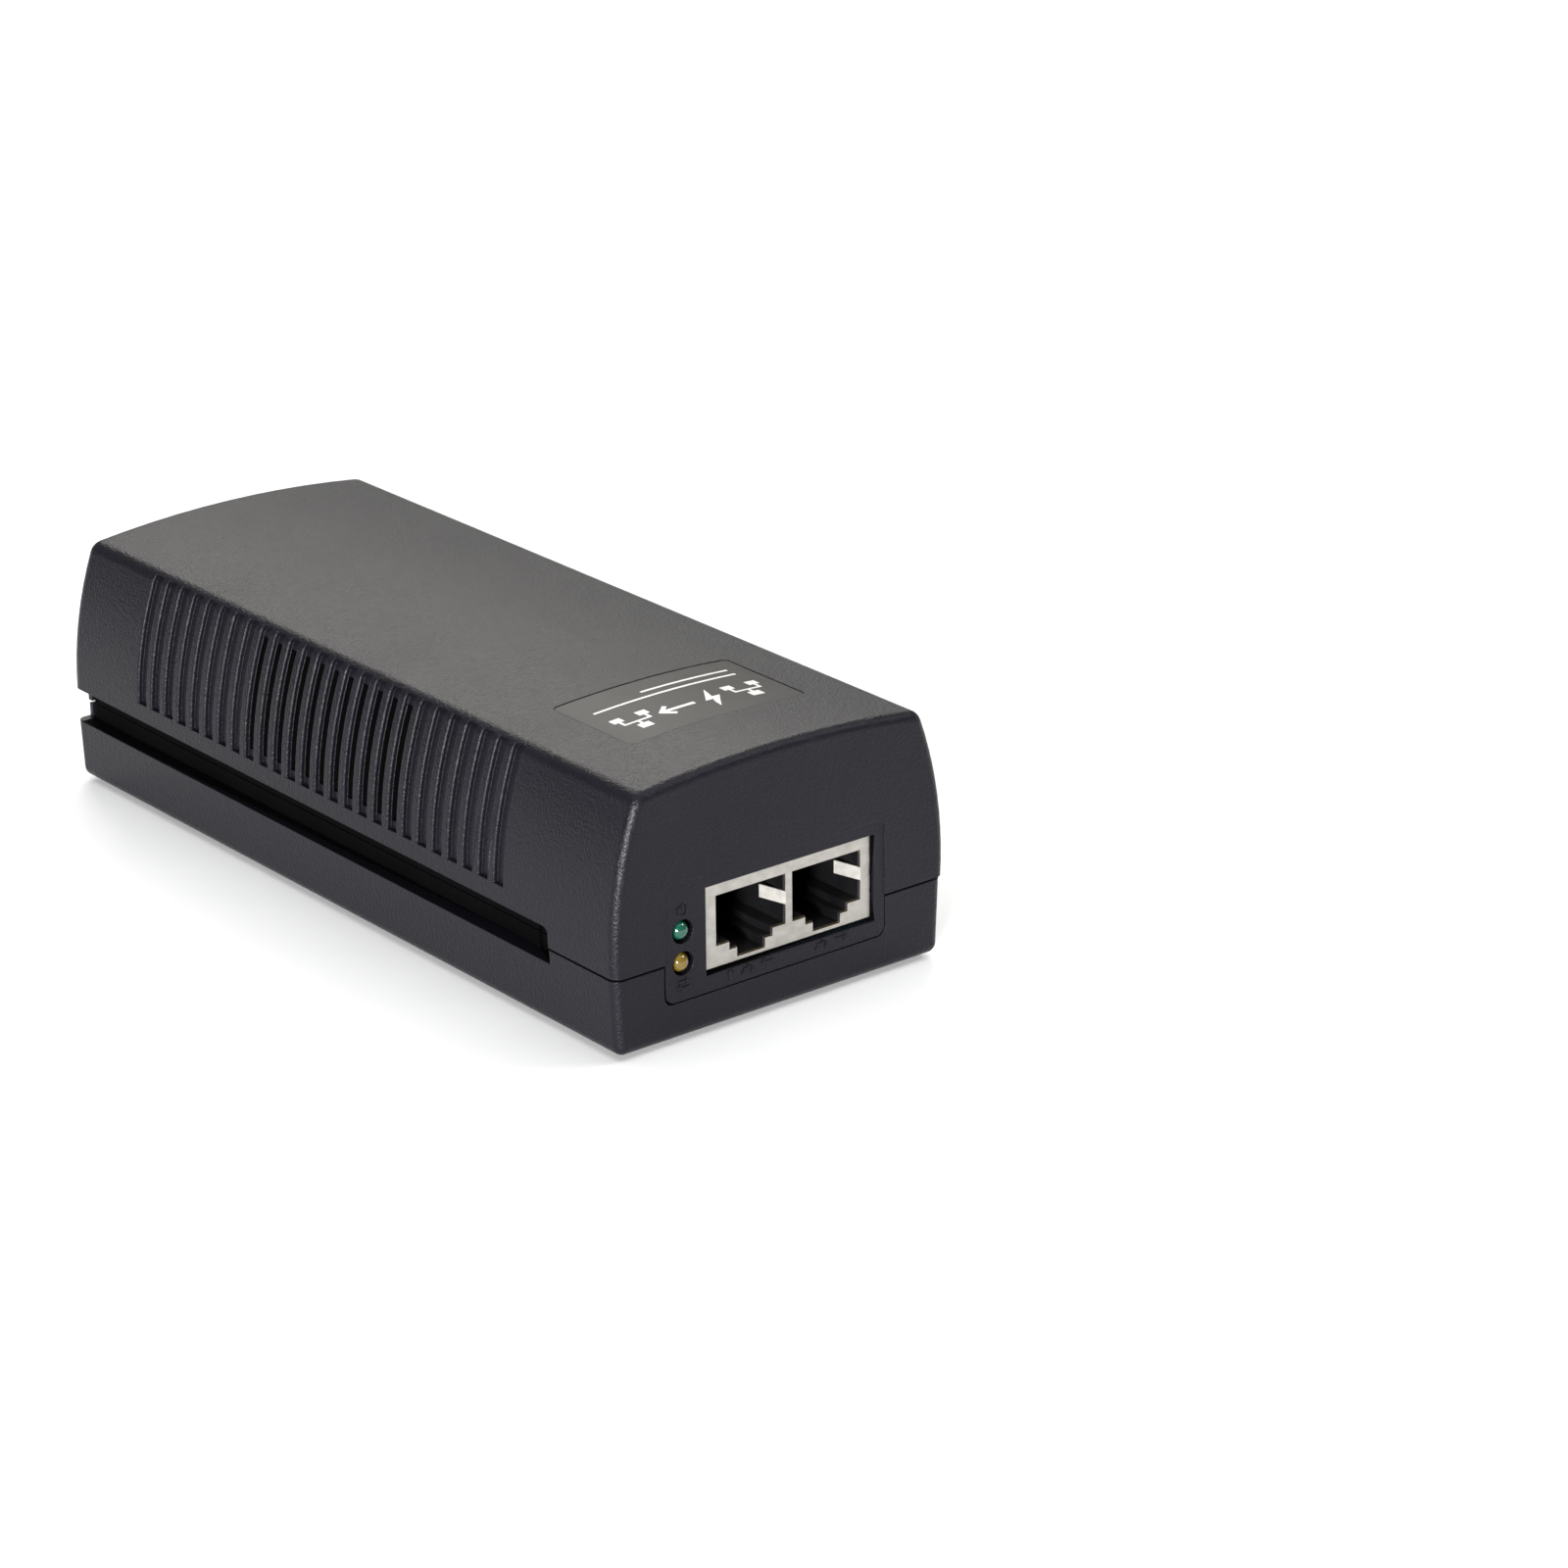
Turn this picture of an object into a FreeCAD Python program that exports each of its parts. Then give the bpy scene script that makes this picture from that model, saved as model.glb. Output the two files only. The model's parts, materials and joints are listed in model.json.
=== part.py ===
import FreeCAD
import Part
import math
import os
import re
import Sketcher
from FreeCAD import Placement, Rotation, Vector

# PoE injector, in millimetres.
# X runs across the case, Y along it from the port end (-Y) to the mains end (+Y), Z is up.
# The origin is the centre of the rectangle that the case covers, on the surface it stands on.

DIMENSIONS = {
    # case
    "case_length": 144.8, "case_width": 61.0, "wall": 2.2,
    "case_base": 0.8, "parting_level": 13.1, "crown_level": 41.65,
    "side_radius": 61.2, "side_centre_level": 16.6, "top_radius": 192.8, "shoulder_radius": 2.6,
    "front_round": 1.5, "rear_round": 2.4,
    "tray_inset": 0.25, "tray_taper": 0.55, "tray_round": 1.6, "tray_floor": 2.0, "parting_gap": 0.45,
    "lip_wall": 1.05, "lip_height": 1.5, "lip_play": 0.15,
    # ribs and vents in both sides
    "groove_count": 26, "groove_pitch": 3.827, "groove_first": -44.7, "groove_width": 2.2,
    "groove_depth": 0.8, "groove_lip": 0.35, "groove_low": 19.05, "groove_end": 25.7,
    "vent_count": 11, "vent_skip": 7, "vent_low": 20.3, "vent_high": 37.7, "vent_rim": 0.1,
    # channels for the wall bracket
    "channel_low": 10.5, "channel_high": 16.2, "channel_front": -56.6, "channel_wall": 27.5,
    "channel_skin": 1.4, "channel_corner": 1.0, "detent_width": 0.9, "detent_depth": 0.9,
    "detent_front": -51.4, "detent_rear": 70.4,
    # port panel
    "panel_left": -21.3, "panel_right": 18.95, "panel_low": 6.8, "panel_high": 24.9,
    "panel_round": 1.5, "panel_step": 0.2, "panel_gap": 0.25,
    # double network jack
    "jack_left": -13.7, "jack_width": 30.5, "jack_low": 9.9, "jack_height": 12.9, "jack_depth": 21.0,
    "jack_setback": 0.9, "jack_play": 0.35, "shield_sheet": 0.3,
    "port_left": -11.7, "port_pitch": 13.97, "port_width": 12.74, "port_top": 20.9, "port_side": 7.8,
    "port_step_in": 2.4, "port_step_down": 1.2, "latch_step_in": 1.4, "latch_bottom": 10.45,
    "port_depth": 15.5, "port_lip": 0.15, "housing_play": 0.05,
    "finger_low": 16.1, "finger_high": 18.1, "finger_root": 0.5, "finger_fold": 0.2, "finger_play": 0.15,
    "finger_slot_rear": 0.3, "finger_slot_side": 0.35, "finger_bend": 1.2, "finger_reach": 4.6,
    "contact_pitch": 1.02, "contact_radius": 0.22, "contact_length": 8.6, "contact_tilt": 12.0,
    "contact_top": 20.3, "contact_front": -69.2,
    # status lights
    "led_x": -18.2, "led_high": 17.4, "led_low": 12.5, "led_radius": 1.5, "led_hole": 1.85,
    "led_flange": 1.9, "led_flange_sheet": 1.0, "led_tip": -72.55, "led_body": 5.5,
    "led_lead_gap": 1.27, "led_lead": 0.25, "lead_reach_high": 5.2, "lead_reach_low": 2.6,
    "holder_half": 2.1, "holder_rise": 2.6, "holder_play": 0.05,
    # labels, feet and screws
    "label_half": 16.1, "label_front": -58.2, "label_rear": -39.1, "label_depth": 0.3,
    "label_sheet": 0.2, "label_round": 1.0, "label_play": 0.1,
    "rating_width": 40.0, "rating_length": 62.0, "rating_sheet": 0.15,
    "foot_x": 23.0, "foot_y": 54.0, "foot_radius": 4.5, "foot_height": 1.2,
    "post_front_x": 25.0, "post_front_y": 65.6, "post_rear_x": 20.6, "post_rear_y": 66.1,
    "post_radius": 3.0, "post_front_top": 30.0, "post_rear_top": 38.6, "boss_radius": 3.9,
    "screw_hole": 1.65, "screw_pilot": 1.1, "screw_grip": 9.0, "screw_end_play": 0.5,
    "head_radius": 2.6, "head_height": 1.9, "head_pocket": 2.8, "head_sink": 2.8,
    "cross_width": 0.7, "cross_length": 3.0, "cross_depth": 0.9,
    # circuit board
    "board_top": 9.9, "board_sheet": 1.6, "board_half": 23.8, "board_end": 69.8,
    "notch_front_x": 20.2, "notch_front_y": 61.0, "notch_rear_x": 16.2, "notch_rear_y": 61.5,
    "standoff_x": 19.8, "standoff_y": 55.1, "standoff_radius": 3.2,
    "board_screw_radius": 1.2, "board_hole": 1.6,
    "board_head_radius": 2.5, "board_head_height": 1.6,
    # mains inlet
    "inlet_width": 28.4, "inlet_front": 50.1, "inlet_top": 30.8, "inlet_setback": 0.2,
    "inlet_play": 0.2, "inlet_flange": 1.4, "inlet_flange_step": 1.3,
    "recess_width": 24.6, "recess_height": 17.2, "recess_centre": 20.6, "recess_depth": 16.5,
    "recess_chamfer": 4.6, "pin_width": 2.0, "pin_height": 4.0, "pin_pitch": 14.0, "earth_offset": 4.0,
    "pin_setback": 1.8, "pin_tail": 1.0,
    # parts with a shape of their own on the board
    "disc_radius": 4.4, "disc_sheet": 3.6, "disc_lift": 1.2, "varistor_x": -19.0, "varistor_y": 37.0,
    "thermistor_x": 19.0, "thermistor_y": 47.7, "safety_x": -19.0, "safety_y": 30.0, "safety_gap": 27.0,
    "choke_y": 32.5, "choke_outer": 8.0, "choke_inner": 4.4, "choke_half": 3.3,
    "choke_level": 21.0, "choke_coil": 1.4, "choke_parting": 1.5,
    "sink_low_x": 19.0, "sink_sheet": 2.0, "fin_reach": 2.6, "fin_sheet": 1.0, "fin_pitch": 6.0,
    "fin_count": 5, "fin_start": 2.0, "primary_sink_y": 8.0, "secondary_sink_y": -42.0, "sink_length": 32.0,
    "sink_height": 22.0, "tab_across": 10.2, "tab_sheet": 4.4, "tab_height": 15.4, "tab_lift": 4.5,
    "primary_tab_y": 29.5, "secondary_tab_y": -37.0, "tab_screw_radius": 2.7, "tab_screw_head": 1.6,
    "tab_screw_level": 27.0,
    "core_x": 1.5, "core_y": -11.0, "core_across": 25.0, "core_along": 7.2, "core_height": 21.0,
    "core_leg": 3.6, "core_middle": 7.0, "bobbin_base": 2.5, "bobbin_skin": 0.9, "bobbin_half": 8.8,
    "bobbin_play": 0.2, "winding_half": 8.2, "winding_step": 0.4,
    "output_can_radius": 5.0, "output_can_height": 16.0, "output_can_y": -27.5, "output_can_x": -7.5,
    "output_can_gap": 11.0,
    "magnetics_x": 1.25, "magnetics_gap": 15.0, "magnetics_y": -45.6, "magnetics_across": 14.0,
    "magnetics_along": 6.4, "magnetics_height": 5.8,
    "sheet_half_x": 15.5, "sheet_half_y": 57.6, "sheet_thickness": 0.4,
    "can_round": 0.8,
}

# Parts that stand on the circuit board: centre x, centre y, size across, size along, height.
BOARD_BLOCKS = {
    "x_capacitor": (0.0, 43.9, 17.5, 8.0, 14.0),
    "bridge_rectifier": (-18.5, 19.0, 4.0, 14.5, 11.0),
    "optocoupler": (-17.5, -14.0, 6.4, 4.6, 3.5),
    "pwm_controller": (-17.5, -4.5, 6.2, 9.4, 3.2),
    "poe_controller": (-8.0, -37.6, 17.9, 7.5, 2.5),
}

# Round parts that stand on the circuit board: centre x, centre y, radius, height.
BOARD_CANS = {
    "mains_fuse": (-18.9, 44.7, 4.2, 8.0),
    "bulk_capacitor": (3.0, 14.0, 9.0, 26.0),
    "filter_coil": (9.0, -28.0, 4.8, 11.0),
}

document = FreeCAD.newDocument("poe_injector")
sheet = document.addObject("Spreadsheet::Sheet", "Dims")


def fill_sheet():
    """Put each driving dimension in a cell of its own, under its name."""
    for table, words in ((BOARD_BLOCKS, ("x", "y", "across", "along", "height")),
                         (BOARD_CANS, ("x", "y", "radius", "height"))):
        for part, sizes in table.items():
            DIMENSIONS.update({f"{part}_{word}": value for word, value in zip(words, sizes)})
    for row, (name, size) in enumerate(DIMENSIONS.items(), start=1):
        sheet.set(f"A{row}", name)
        sheet.set(f"B{row}", str(size))
        sheet.setAlias(f"B{row}", name)
    document.recompute()


def cells(text):
    """Write the dimension names in an expression as cells of the sheet."""
    def as_cell(word):
        return f"Dims.{word[0]}" if word[0] in DIMENSIONS else word[0]
    return re.sub(r"[a-z][a-z_]+", as_cell, text)


def size(text):
    """Value of an expression in the sheet's dimensions."""
    return float(sheet.evalExpression(cells(text)))


def bind(feature, **properties):
    """Bind properties to expressions; a double underscore stands for a dot."""
    for name, text in properties.items():
        feature.setExpression(name.replace("__", "."), cells(text))


# ---- sketches -------------------------------------------------------------------------------

NORMAL_SIGN = {"XY_Plane": "", "XZ_Plane": "-", "YZ_Plane": ""}


def origin_feature(body, role):
    return next(feature for feature in body.Origin.OriginFeatures if feature.Role == role)


def new_sketch(body, name, plane, offset):
    """Sketch on an origin plane of the body, moved along the axis that the plane is square to."""
    sketch = body.newObject("Sketcher::SketchObject", name)
    sketch.AttachmentSupport = [(origin_feature(body, plane), "")]
    sketch.MapMode = "FlatFace"
    bind(sketch, AttachmentOffset__Base__z=f"{NORMAL_SIGN[plane]}({offset})")
    return sketch


def constrain(sketch, text, kind, *targets):
    """Add a constraint whose value is an expression."""
    index = sketch.addConstraint(Sketcher.Constraint(kind, *targets, size(text)))
    bind(sketch, **{f"Constraints[{index}]": text})


def place_point(sketch, line, end, across, up):
    constrain(sketch, across, "DistanceX", -1, 1, line, end)
    constrain(sketch, up, "DistanceY", -1, 1, line, end)


def polygon(*corners):
    """Closed outline through the corners."""
    def draw(sketch):
        points = [Vector(size(across), size(up), 0) for across, up in corners]
        lines = [sketch.addGeometry(Part.LineSegment(points[index - 1], point))
                 for index, point in enumerate(points)]
        for line, following, (across, up) in zip(lines, lines[1:] + lines[:1], corners):
            sketch.addConstraint(Sketcher.Constraint("Coincident", line, 2, following, 1))
            place_point(sketch, line, 2, across, up)
    return draw


def rectangle(left, right, low, high):
    return polygon((left, low), (right, low), (right, high), (left, high))


def rectangle_pair(inner, outer, low, high):
    """Two rectangles, one on each side of the middle."""
    def draw(sketch):
        rectangle(inner, outer, low, high)(sketch)
        rectangle(f"-({outer})", f"-({inner})", low, high)(sketch)
    return draw


def rounded_rectangle(left, right, low, high, radius):
    """Rectangle with its four corners rounded."""
    def draw(sketch):
        x0, x1, y0, y1, r = (size(text) for text in (left, right, low, high, radius))
        centres = [(x1 - r, y0 + r), (x1 - r, y1 - r), (x0 + r, y1 - r), (x0 + r, y0 + r)]
        joints = [(x0 + r, y0, x1 - r, y0), (x1, y0 + r, x1, y1 - r),
                  (x1 - r, y1, x0 + r, y1), (x0, y1 - r, x0, y0 + r)]
        for corner, (x_start, y_start, x_end, y_end) in enumerate(joints):
            sketch.addGeometry(Part.LineSegment(Vector(x_start, y_start, 0), Vector(x_end, y_end, 0)))
            circle = Part.Circle(Vector(*centres[corner], 0), Vector(0, 0, 1), r)
            turn = (corner - 1) * math.pi / 2
            sketch.addGeometry(Part.ArcOfCircle(circle, turn, turn + math.pi / 2))
        for corner in range(4):
            line, arc, following = 2 * corner, 2 * corner + 1, (2 * corner + 2) % 8
            sketch.addConstraint(Sketcher.Constraint("Tangent", line, 2, arc, 1))
            sketch.addConstraint(Sketcher.Constraint("Tangent", arc, 2, following, 1))
            sketch.addConstraint(Sketcher.Constraint("Vertical" if corner % 2 else "Horizontal", line))
        for arc in (3, 5, 7):
            sketch.addConstraint(Sketcher.Constraint("Equal", 1, arc))
        constrain(sketch, radius, "Radius", 1)
        constrain(sketch, low, "DistanceY", -1, 1, 0, 1)
        constrain(sketch, right, "DistanceX", -1, 1, 2, 1)
        constrain(sketch, high, "DistanceY", -1, 1, 4, 1)
        constrain(sketch, left, "DistanceX", -1, 1, 6, 1)
    return draw


def circles(radius, *centres):
    """Equal circles about the centres."""
    def draw(sketch):
        for across, up in centres:
            middle = Vector(size(across), size(up), 0)
            circle = sketch.addGeometry(Part.Circle(middle, Vector(0, 0, 1), size(radius)))
            place_point(sketch, circle, 3, across, up)
            constrain(sketch, radius, "Radius", circle)
    return draw


# ---- PartDesign features --------------------------------------------------------------------

def layer(body, name, plane, low, high, draw, cut=False):
    """Extrude an outline between two levels, adding to the body or cutting from it."""
    sketch = new_sketch(body, f"{name}_sketch", plane, f"(({low}) + ({high})) / 2")
    draw(sketch)
    feature = body.newObject("PartDesign::Pocket" if cut else "PartDesign::Pad", name)
    feature.Profile = sketch
    feature.SideType = "Symmetric"
    bind(feature, Length=f"({high}) - ({low})")
    volume = body.Shape.Volume if cut else 0
    document.recompute()
    if cut and not body.Shape.Volume < volume:
        raise ValueError(f"{name} cuts nothing")
    return feature


def block(body, name, x, y, z, cut=False):
    return layer(body, name, "XY_Plane", *z, rectangle(*x, *y), cut)


def round_edges(body, name, radius, wanted):
    """Round the edges of the body that the test picks."""
    base = body.Tip
    edges = [f"Edge{i}" for i, edge in enumerate(body.Shape.Edges, start=1) if wanted(edge)]
    fillet = body.newObject("PartDesign::Fillet", name)
    fillet.Base = (base, edges)
    bind(fillet, Radius=radius)
    document.recompute()
    return fillet


def repeat(body, name, feature, count, pitch):
    """Repeat a feature along the case, towards the mains end."""
    pattern = body.newObject("PartDesign::LinearPattern", name)
    pattern.Originals = [feature]
    pattern.Direction = (origin_feature(body, "Y_Axis"), [""])
    bind(pattern, Occurrences=count, Length=f"({count} - 1) * {pitch}")
    body.Tip = pattern
    document.recompute()
    return pattern


def new_body(name):
    body = document.addObject("PartDesign::Body", name)
    body.Label = name
    return body


def near(value, text, slack=0.01):
    return abs(value - size(text)) < slack


def runs_along(edge, axis, slack=0.01):
    """Whether the edge is straight and parallel to the axis."""
    box = edge.BoundBox
    spans = {"x": box.XLength, "y": box.YLength, "z": box.ZLength}
    return all(span < slack for name, span in spans.items() if name != axis)


# ---- Part primitives ------------------------------------------------------------------------

def solid_box(name, x, y, z):
    box = document.addObject("Part::Box", name)
    bind(box, Length=f"({x[1]}) - ({x[0]})", Width=f"({y[1]}) - ({y[0]})", Height=f"({z[1]}) - ({z[0]})",
         Placement__Base__x=x[0], Placement__Base__y=y[0], Placement__Base__z=z[0])
    return box


AXIS_TURN = {"x": Rotation(Vector(0, 1, 0), 90), "y": Rotation(Vector(1, 0, 0), -90), "z": Rotation()}


def stand(feature, start, axis):
    """Put a primitive's base at a point, with its own Z along an axis."""
    feature.Placement = Placement(Vector(), AXIS_TURN[axis])
    bind(feature, Placement__Base__x=start[0], Placement__Base__y=start[1], Placement__Base__z=start[2])
    return feature


def rod(name, radius, length, start, axis="z"):
    cylinder = document.addObject("Part::Cylinder", name)
    bind(cylinder, Radius=radius, Height=length)
    return stand(cylinder, start, axis)


def boolean(kind, name, base, tool):
    feature = document.addObject(f"Part::{kind}", name)
    feature.Base = base
    feature.Tool = tool
    return feature


def fused(name, *pieces):
    fusion = document.addObject("Part::MultiFuse", name)
    fusion.Shapes = list(pieces)
    return fusion


def grouped(name, pieces):
    """Separate solids that share one node."""
    compound = document.addObject("Part::Compound", name)
    compound.Links = list(pieces)
    return compound


# ---- case -----------------------------------------------------------------------------------

def section_circles(inset):
    """Centres and radii of the cover's side, shoulder and top arcs on the right, and their joints."""
    side_radius = size(f"side_radius - {inset}")
    top_radius = size(f"top_radius - {inset}")
    shoulder_radius = size(f"shoulder_radius - {inset}")
    side = Vector(size("case_width / 2 - side_radius"), size("side_centre_level"), 0)
    top = Vector(0, size("crown_level - top_radius"), 0)
    to_side = side_radius - shoulder_radius
    to_top = top_radius - shoulder_radius
    apart = (top - side).Length
    along = (to_side ** 2 - to_top ** 2 + apart ** 2) / (2 * apart)
    rise = math.sqrt(to_side ** 2 - along ** 2)
    towards = (top - side).normalize()
    shoulder = side + towards * along + Vector(-towards.y, towards.x, 0) * rise
    low_joint = side + (shoulder - side).normalize() * side_radius
    high_joint = top + (shoulder - top).normalize() * top_radius
    return side, shoulder, top, low_joint, high_joint


def arc(centre, start, end):
    """Arc about a centre, anticlockwise from start to end."""
    radius = (start - centre).Length
    first = math.atan2(start.y - centre.y, start.x - centre.x)
    last = math.atan2(end.y - centre.y, end.x - centre.x)
    return Part.ArcOfCircle(Part.Circle(centre, Vector(0, 0, 1), radius), first, last)


def flipped(point):
    return Vector(-point.x, point.y, 0)


def side_point(level, inset):
    """Point of the right side arc at a level."""
    rise = size(f"{level} - side_centre_level")
    reach = math.sqrt(size(f"side_radius - {inset}") ** 2 - rise ** 2)
    return Vector(size("case_width / 2 - side_radius") + reach, size(level), 0)


def cover_section(inset, level):
    """Cover's cross-section: two bowed sides, rounded shoulders and a crowned top above a level."""
    def draw(sketch):
        side, shoulder, top, low_joint, high_joint = section_circles(inset)
        foot = side_point(level, inset)
        bottom = sketch.addGeometry(Part.LineSegment(flipped(foot), foot))
        right = sketch.addGeometry(arc(side, foot, low_joint))
        right_shoulder = sketch.addGeometry(arc(shoulder, low_joint, high_joint))
        crown = sketch.addGeometry(arc(top, high_joint, flipped(high_joint)))
        left_shoulder = sketch.addGeometry(arc(flipped(shoulder), flipped(high_joint), flipped(low_joint)))
        left = sketch.addGeometry(arc(flipped(side), flipped(low_joint), flipped(foot)))
        chain = [right, right_shoulder, crown, left_shoulder, left]
        for before, after in zip(chain, chain[1:]):
            sketch.addConstraint(Sketcher.Constraint("Tangent", before, 2, after, 1))
        sketch.addConstraint(Sketcher.Constraint("Coincident", bottom, 2, right, 1))
        sketch.addConstraint(Sketcher.Constraint("Coincident", left, 2, bottom, 1))
        sketch.addConstraint(Sketcher.Constraint("Horizontal", bottom))
        constrain(sketch, level, "DistanceY", -1, 1, bottom, 1)
        place_point(sketch, right, 3, "case_width / 2 - side_radius", "side_centre_level")
        place_point(sketch, left, 3, "side_radius - case_width / 2", "side_centre_level")
        sketch.addConstraint(Sketcher.Constraint("PointOnObject", crown, 3, -2))
        constrain(sketch, "crown_level - top_radius", "DistanceY", -1, 1, crown, 3)
        constrain(sketch, f"top_radius - {inset}", "Radius", crown)
        for side_arc in (right, left):
            constrain(sketch, f"side_radius - {inset}", "Radius", side_arc)
        for shoulder_arc in (right_shoulder, left_shoulder):
            constrain(sketch, f"shoulder_radius - {inset}", "Radius", shoulder_arc)
    return draw


def groove_path(body):
    """Line that a groove follows, up the right side and half way over the shoulder."""
    sketch = new_sketch(body, "groove_path", "XZ_Plane", "groove_first")
    side, shoulder, top, low_joint, _ = section_circles("0")
    rise = math.sqrt(size("shoulder_radius") ** 2 - (size("groove_end") - shoulder.x) ** 2)
    end = Vector(size("groove_end"), shoulder.y + rise, 0)
    flank = sketch.addGeometry(arc(side, side_point("groove_low", "0"), low_joint))
    bend = sketch.addGeometry(arc(shoulder, low_joint, end))
    crown = sketch.addGeometry(Part.Circle(top, Vector(0, 0, 1), size("top_radius")), True)
    sketch.addConstraint(Sketcher.Constraint("Tangent", flank, 2, bend, 1))
    sketch.addConstraint(Sketcher.Constraint("Tangent", bend, crown))
    place_point(sketch, flank, 3, "case_width / 2 - side_radius", "side_centre_level")
    constrain(sketch, "side_radius", "Radius", flank)
    constrain(sketch, "groove_low", "DistanceY", -1, 1, flank, 1)
    constrain(sketch, "shoulder_radius", "Radius", bend)
    sketch.addConstraint(Sketcher.Constraint("PointOnObject", crown, 3, -2))
    constrain(sketch, "crown_level - top_radius", "DistanceY", -1, 1, crown, 3)
    constrain(sketch, "top_radius", "Radius", crown)
    constrain(sketch, "groove_end", "DistanceX", -1, 1, bend, 2)
    return sketch


def groove_profile(body):
    """Cross-section of a groove, with rounded lips where it meets the side."""
    surface = ("case_width / 2 - side_radius"
               " + sqrt(side_radius ^ 2 - (groove_low - side_centre_level) ^ 2)")
    sketch = new_sketch(body, "groove_profile", "XY_Plane", "groove_low")
    x = size(surface)
    floor = x - size("groove_depth")
    lip = size("groove_lip")
    outside = x + lip
    middle = size("groove_first")
    half = size("groove_width") / 2
    low, high = middle - half, middle + half
    points = [(outside, low - lip), (x, low - lip), (x - lip, low), (floor, low),
              (floor, high), (x - lip, high), (x, high + lip), (outside, high + lip)]
    corners = [Vector(across, up, 0) for across, up in points]
    low_centre = Vector(x - lip, low - lip, 0)
    high_centre = Vector(x - lip, high + lip, 0)
    sketch.addGeometry(Part.LineSegment(corners[0], corners[1]))
    sketch.addGeometry(arc(low_centre, corners[1], corners[2]))
    sketch.addGeometry(Part.LineSegment(corners[2], corners[3]))
    sketch.addGeometry(Part.LineSegment(corners[3], corners[4]))
    sketch.addGeometry(Part.LineSegment(corners[4], corners[5]))
    sketch.addGeometry(arc(high_centre, corners[5], corners[6]))
    sketch.addGeometry(Part.LineSegment(corners[6], corners[7]))
    sketch.addGeometry(Part.LineSegment(corners[7], corners[0]))
    for geometry in range(8):
        sketch.addConstraint(Sketcher.Constraint("Coincident", geometry, 2, (geometry + 1) % 8, 1))
    low_edge = "groove_first - groove_width / 2"
    high_edge = "groove_first + groove_width / 2"
    place_point(sketch, 1, 3, f"{surface} - groove_lip", f"{low_edge} - groove_lip")
    place_point(sketch, 5, 3, f"{surface} - groove_lip", f"{high_edge} + groove_lip")
    place_point(sketch, 0, 1, f"{surface} + groove_lip", f"{low_edge} - groove_lip")
    place_point(sketch, 6, 2, f"{surface} + groove_lip", f"{high_edge} + groove_lip")
    place_point(sketch, 2, 2, f"{surface} - groove_depth", low_edge)
    place_point(sketch, 3, 2, f"{surface} - groove_depth", high_edge)
    for arc_index in (1, 5):
        constrain(sketch, "groove_lip", "Radius", arc_index)
    for arc_index, end in ((1, 2), (5, 1)):
        constrain(sketch, f"{surface} - groove_lip", "DistanceX", -1, 1, arc_index, end)
    for line in (0, 6):
        sketch.addConstraint(Sketcher.Constraint("Horizontal", line))
    return sketch


def cut_grooves(body):
    """Rounded grooves up both sides, between which the case stands as ribs."""
    groove = body.newObject("PartDesign::SubtractivePipe", "groove")
    groove.Profile = groove_profile(body)
    path = groove_path(body)
    document.recompute()
    groove.Spine = (path, [f"Edge{i}" for i, edge in enumerate(path.Shape.Edges, start=1)])
    document.recompute()
    row = body.newObject("PartDesign::LinearPattern", "groove_row")
    row.Direction = (origin_feature(body, "Y_Axis"), [""])
    bind(row, Occurrences="groove_count", Length="(groove_count - 1) * groove_pitch")
    pair = body.newObject("PartDesign::Mirrored", "groove_pair")
    pair.MirrorPlane = (origin_feature(body, "YZ_Plane"), [""])
    grooves = body.newObject("PartDesign::MultiTransform", "grooves")
    grooves.Originals = [groove]
    grooves.Transformations = [row, pair]
    body.Tip = grooves
    document.recompute()


def cut_vents(body):
    """Openings through the floors of the middle grooves."""
    first = "groove_first + vent_skip * groove_pitch"
    vent = block(body, "vent", ("-case_width", "case_width"),
                 (f"{first} - groove_width / 2 + vent_rim", f"{first} + groove_width / 2 - vent_rim"),
                 ("vent_low", "vent_high"), cut=True)
    repeat(body, "vents", vent, "vent_count", "groove_pitch")


CHANNEL_BACK = ("channel_front - channel_skin", "case_length / 2 - wall / 2")
CHANNEL_RUN = ("channel_front", "case_length")
DETENTS = ("detent_front", "detent_rear")


def posts(body, name, low, high_front, high_rear, radius, cut=False):
    """Round posts or holes on the four case screws."""
    front = circles(radius, ("post_front_x", "-post_front_y"), ("-post_front_x", "-post_front_y"))
    rear = circles(radius, ("post_rear_x", "post_rear_y"), ("-post_rear_x", "post_rear_y"))
    layer(body, f"{name}_front", "XY_Plane", low, high_front, front, cut)
    layer(body, f"{name}_rear", "XY_Plane", low, high_rear, rear, cut)


def cover_shell(body):
    """Hollow cover with rounded ends and a rebate that the tray's lip enters."""
    layer(body, "cover_form", "XZ_Plane", "-case_length / 2", "case_length / 2",
          cover_section("0", "parting_level"))
    for end, place in (("front", "-case_length / 2"), ("rear", "case_length / 2")):
        round_edges(body, f"{end}_edges", f"{end}_round",
                    lambda edge: near(edge.CenterOfMass.y, place)
                    and edge.BoundBox.ZMin > size("parting_level + wall"))
    layer(body, "cover_cavity", "XZ_Plane", "wall - case_length / 2", "case_length / 2 - wall",
          cover_section("wall", "parting_level - wall"), cut=True)
    block(body, "cover_rebate", ("lip_wall - case_width / 2", "case_width / 2 - lip_wall"),
          ("lip_wall - case_length / 2", "case_length / 2 - lip_wall"),
          ("parting_level - wall", "parting_level + lip_height + lip_play"), cut=True)


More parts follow.
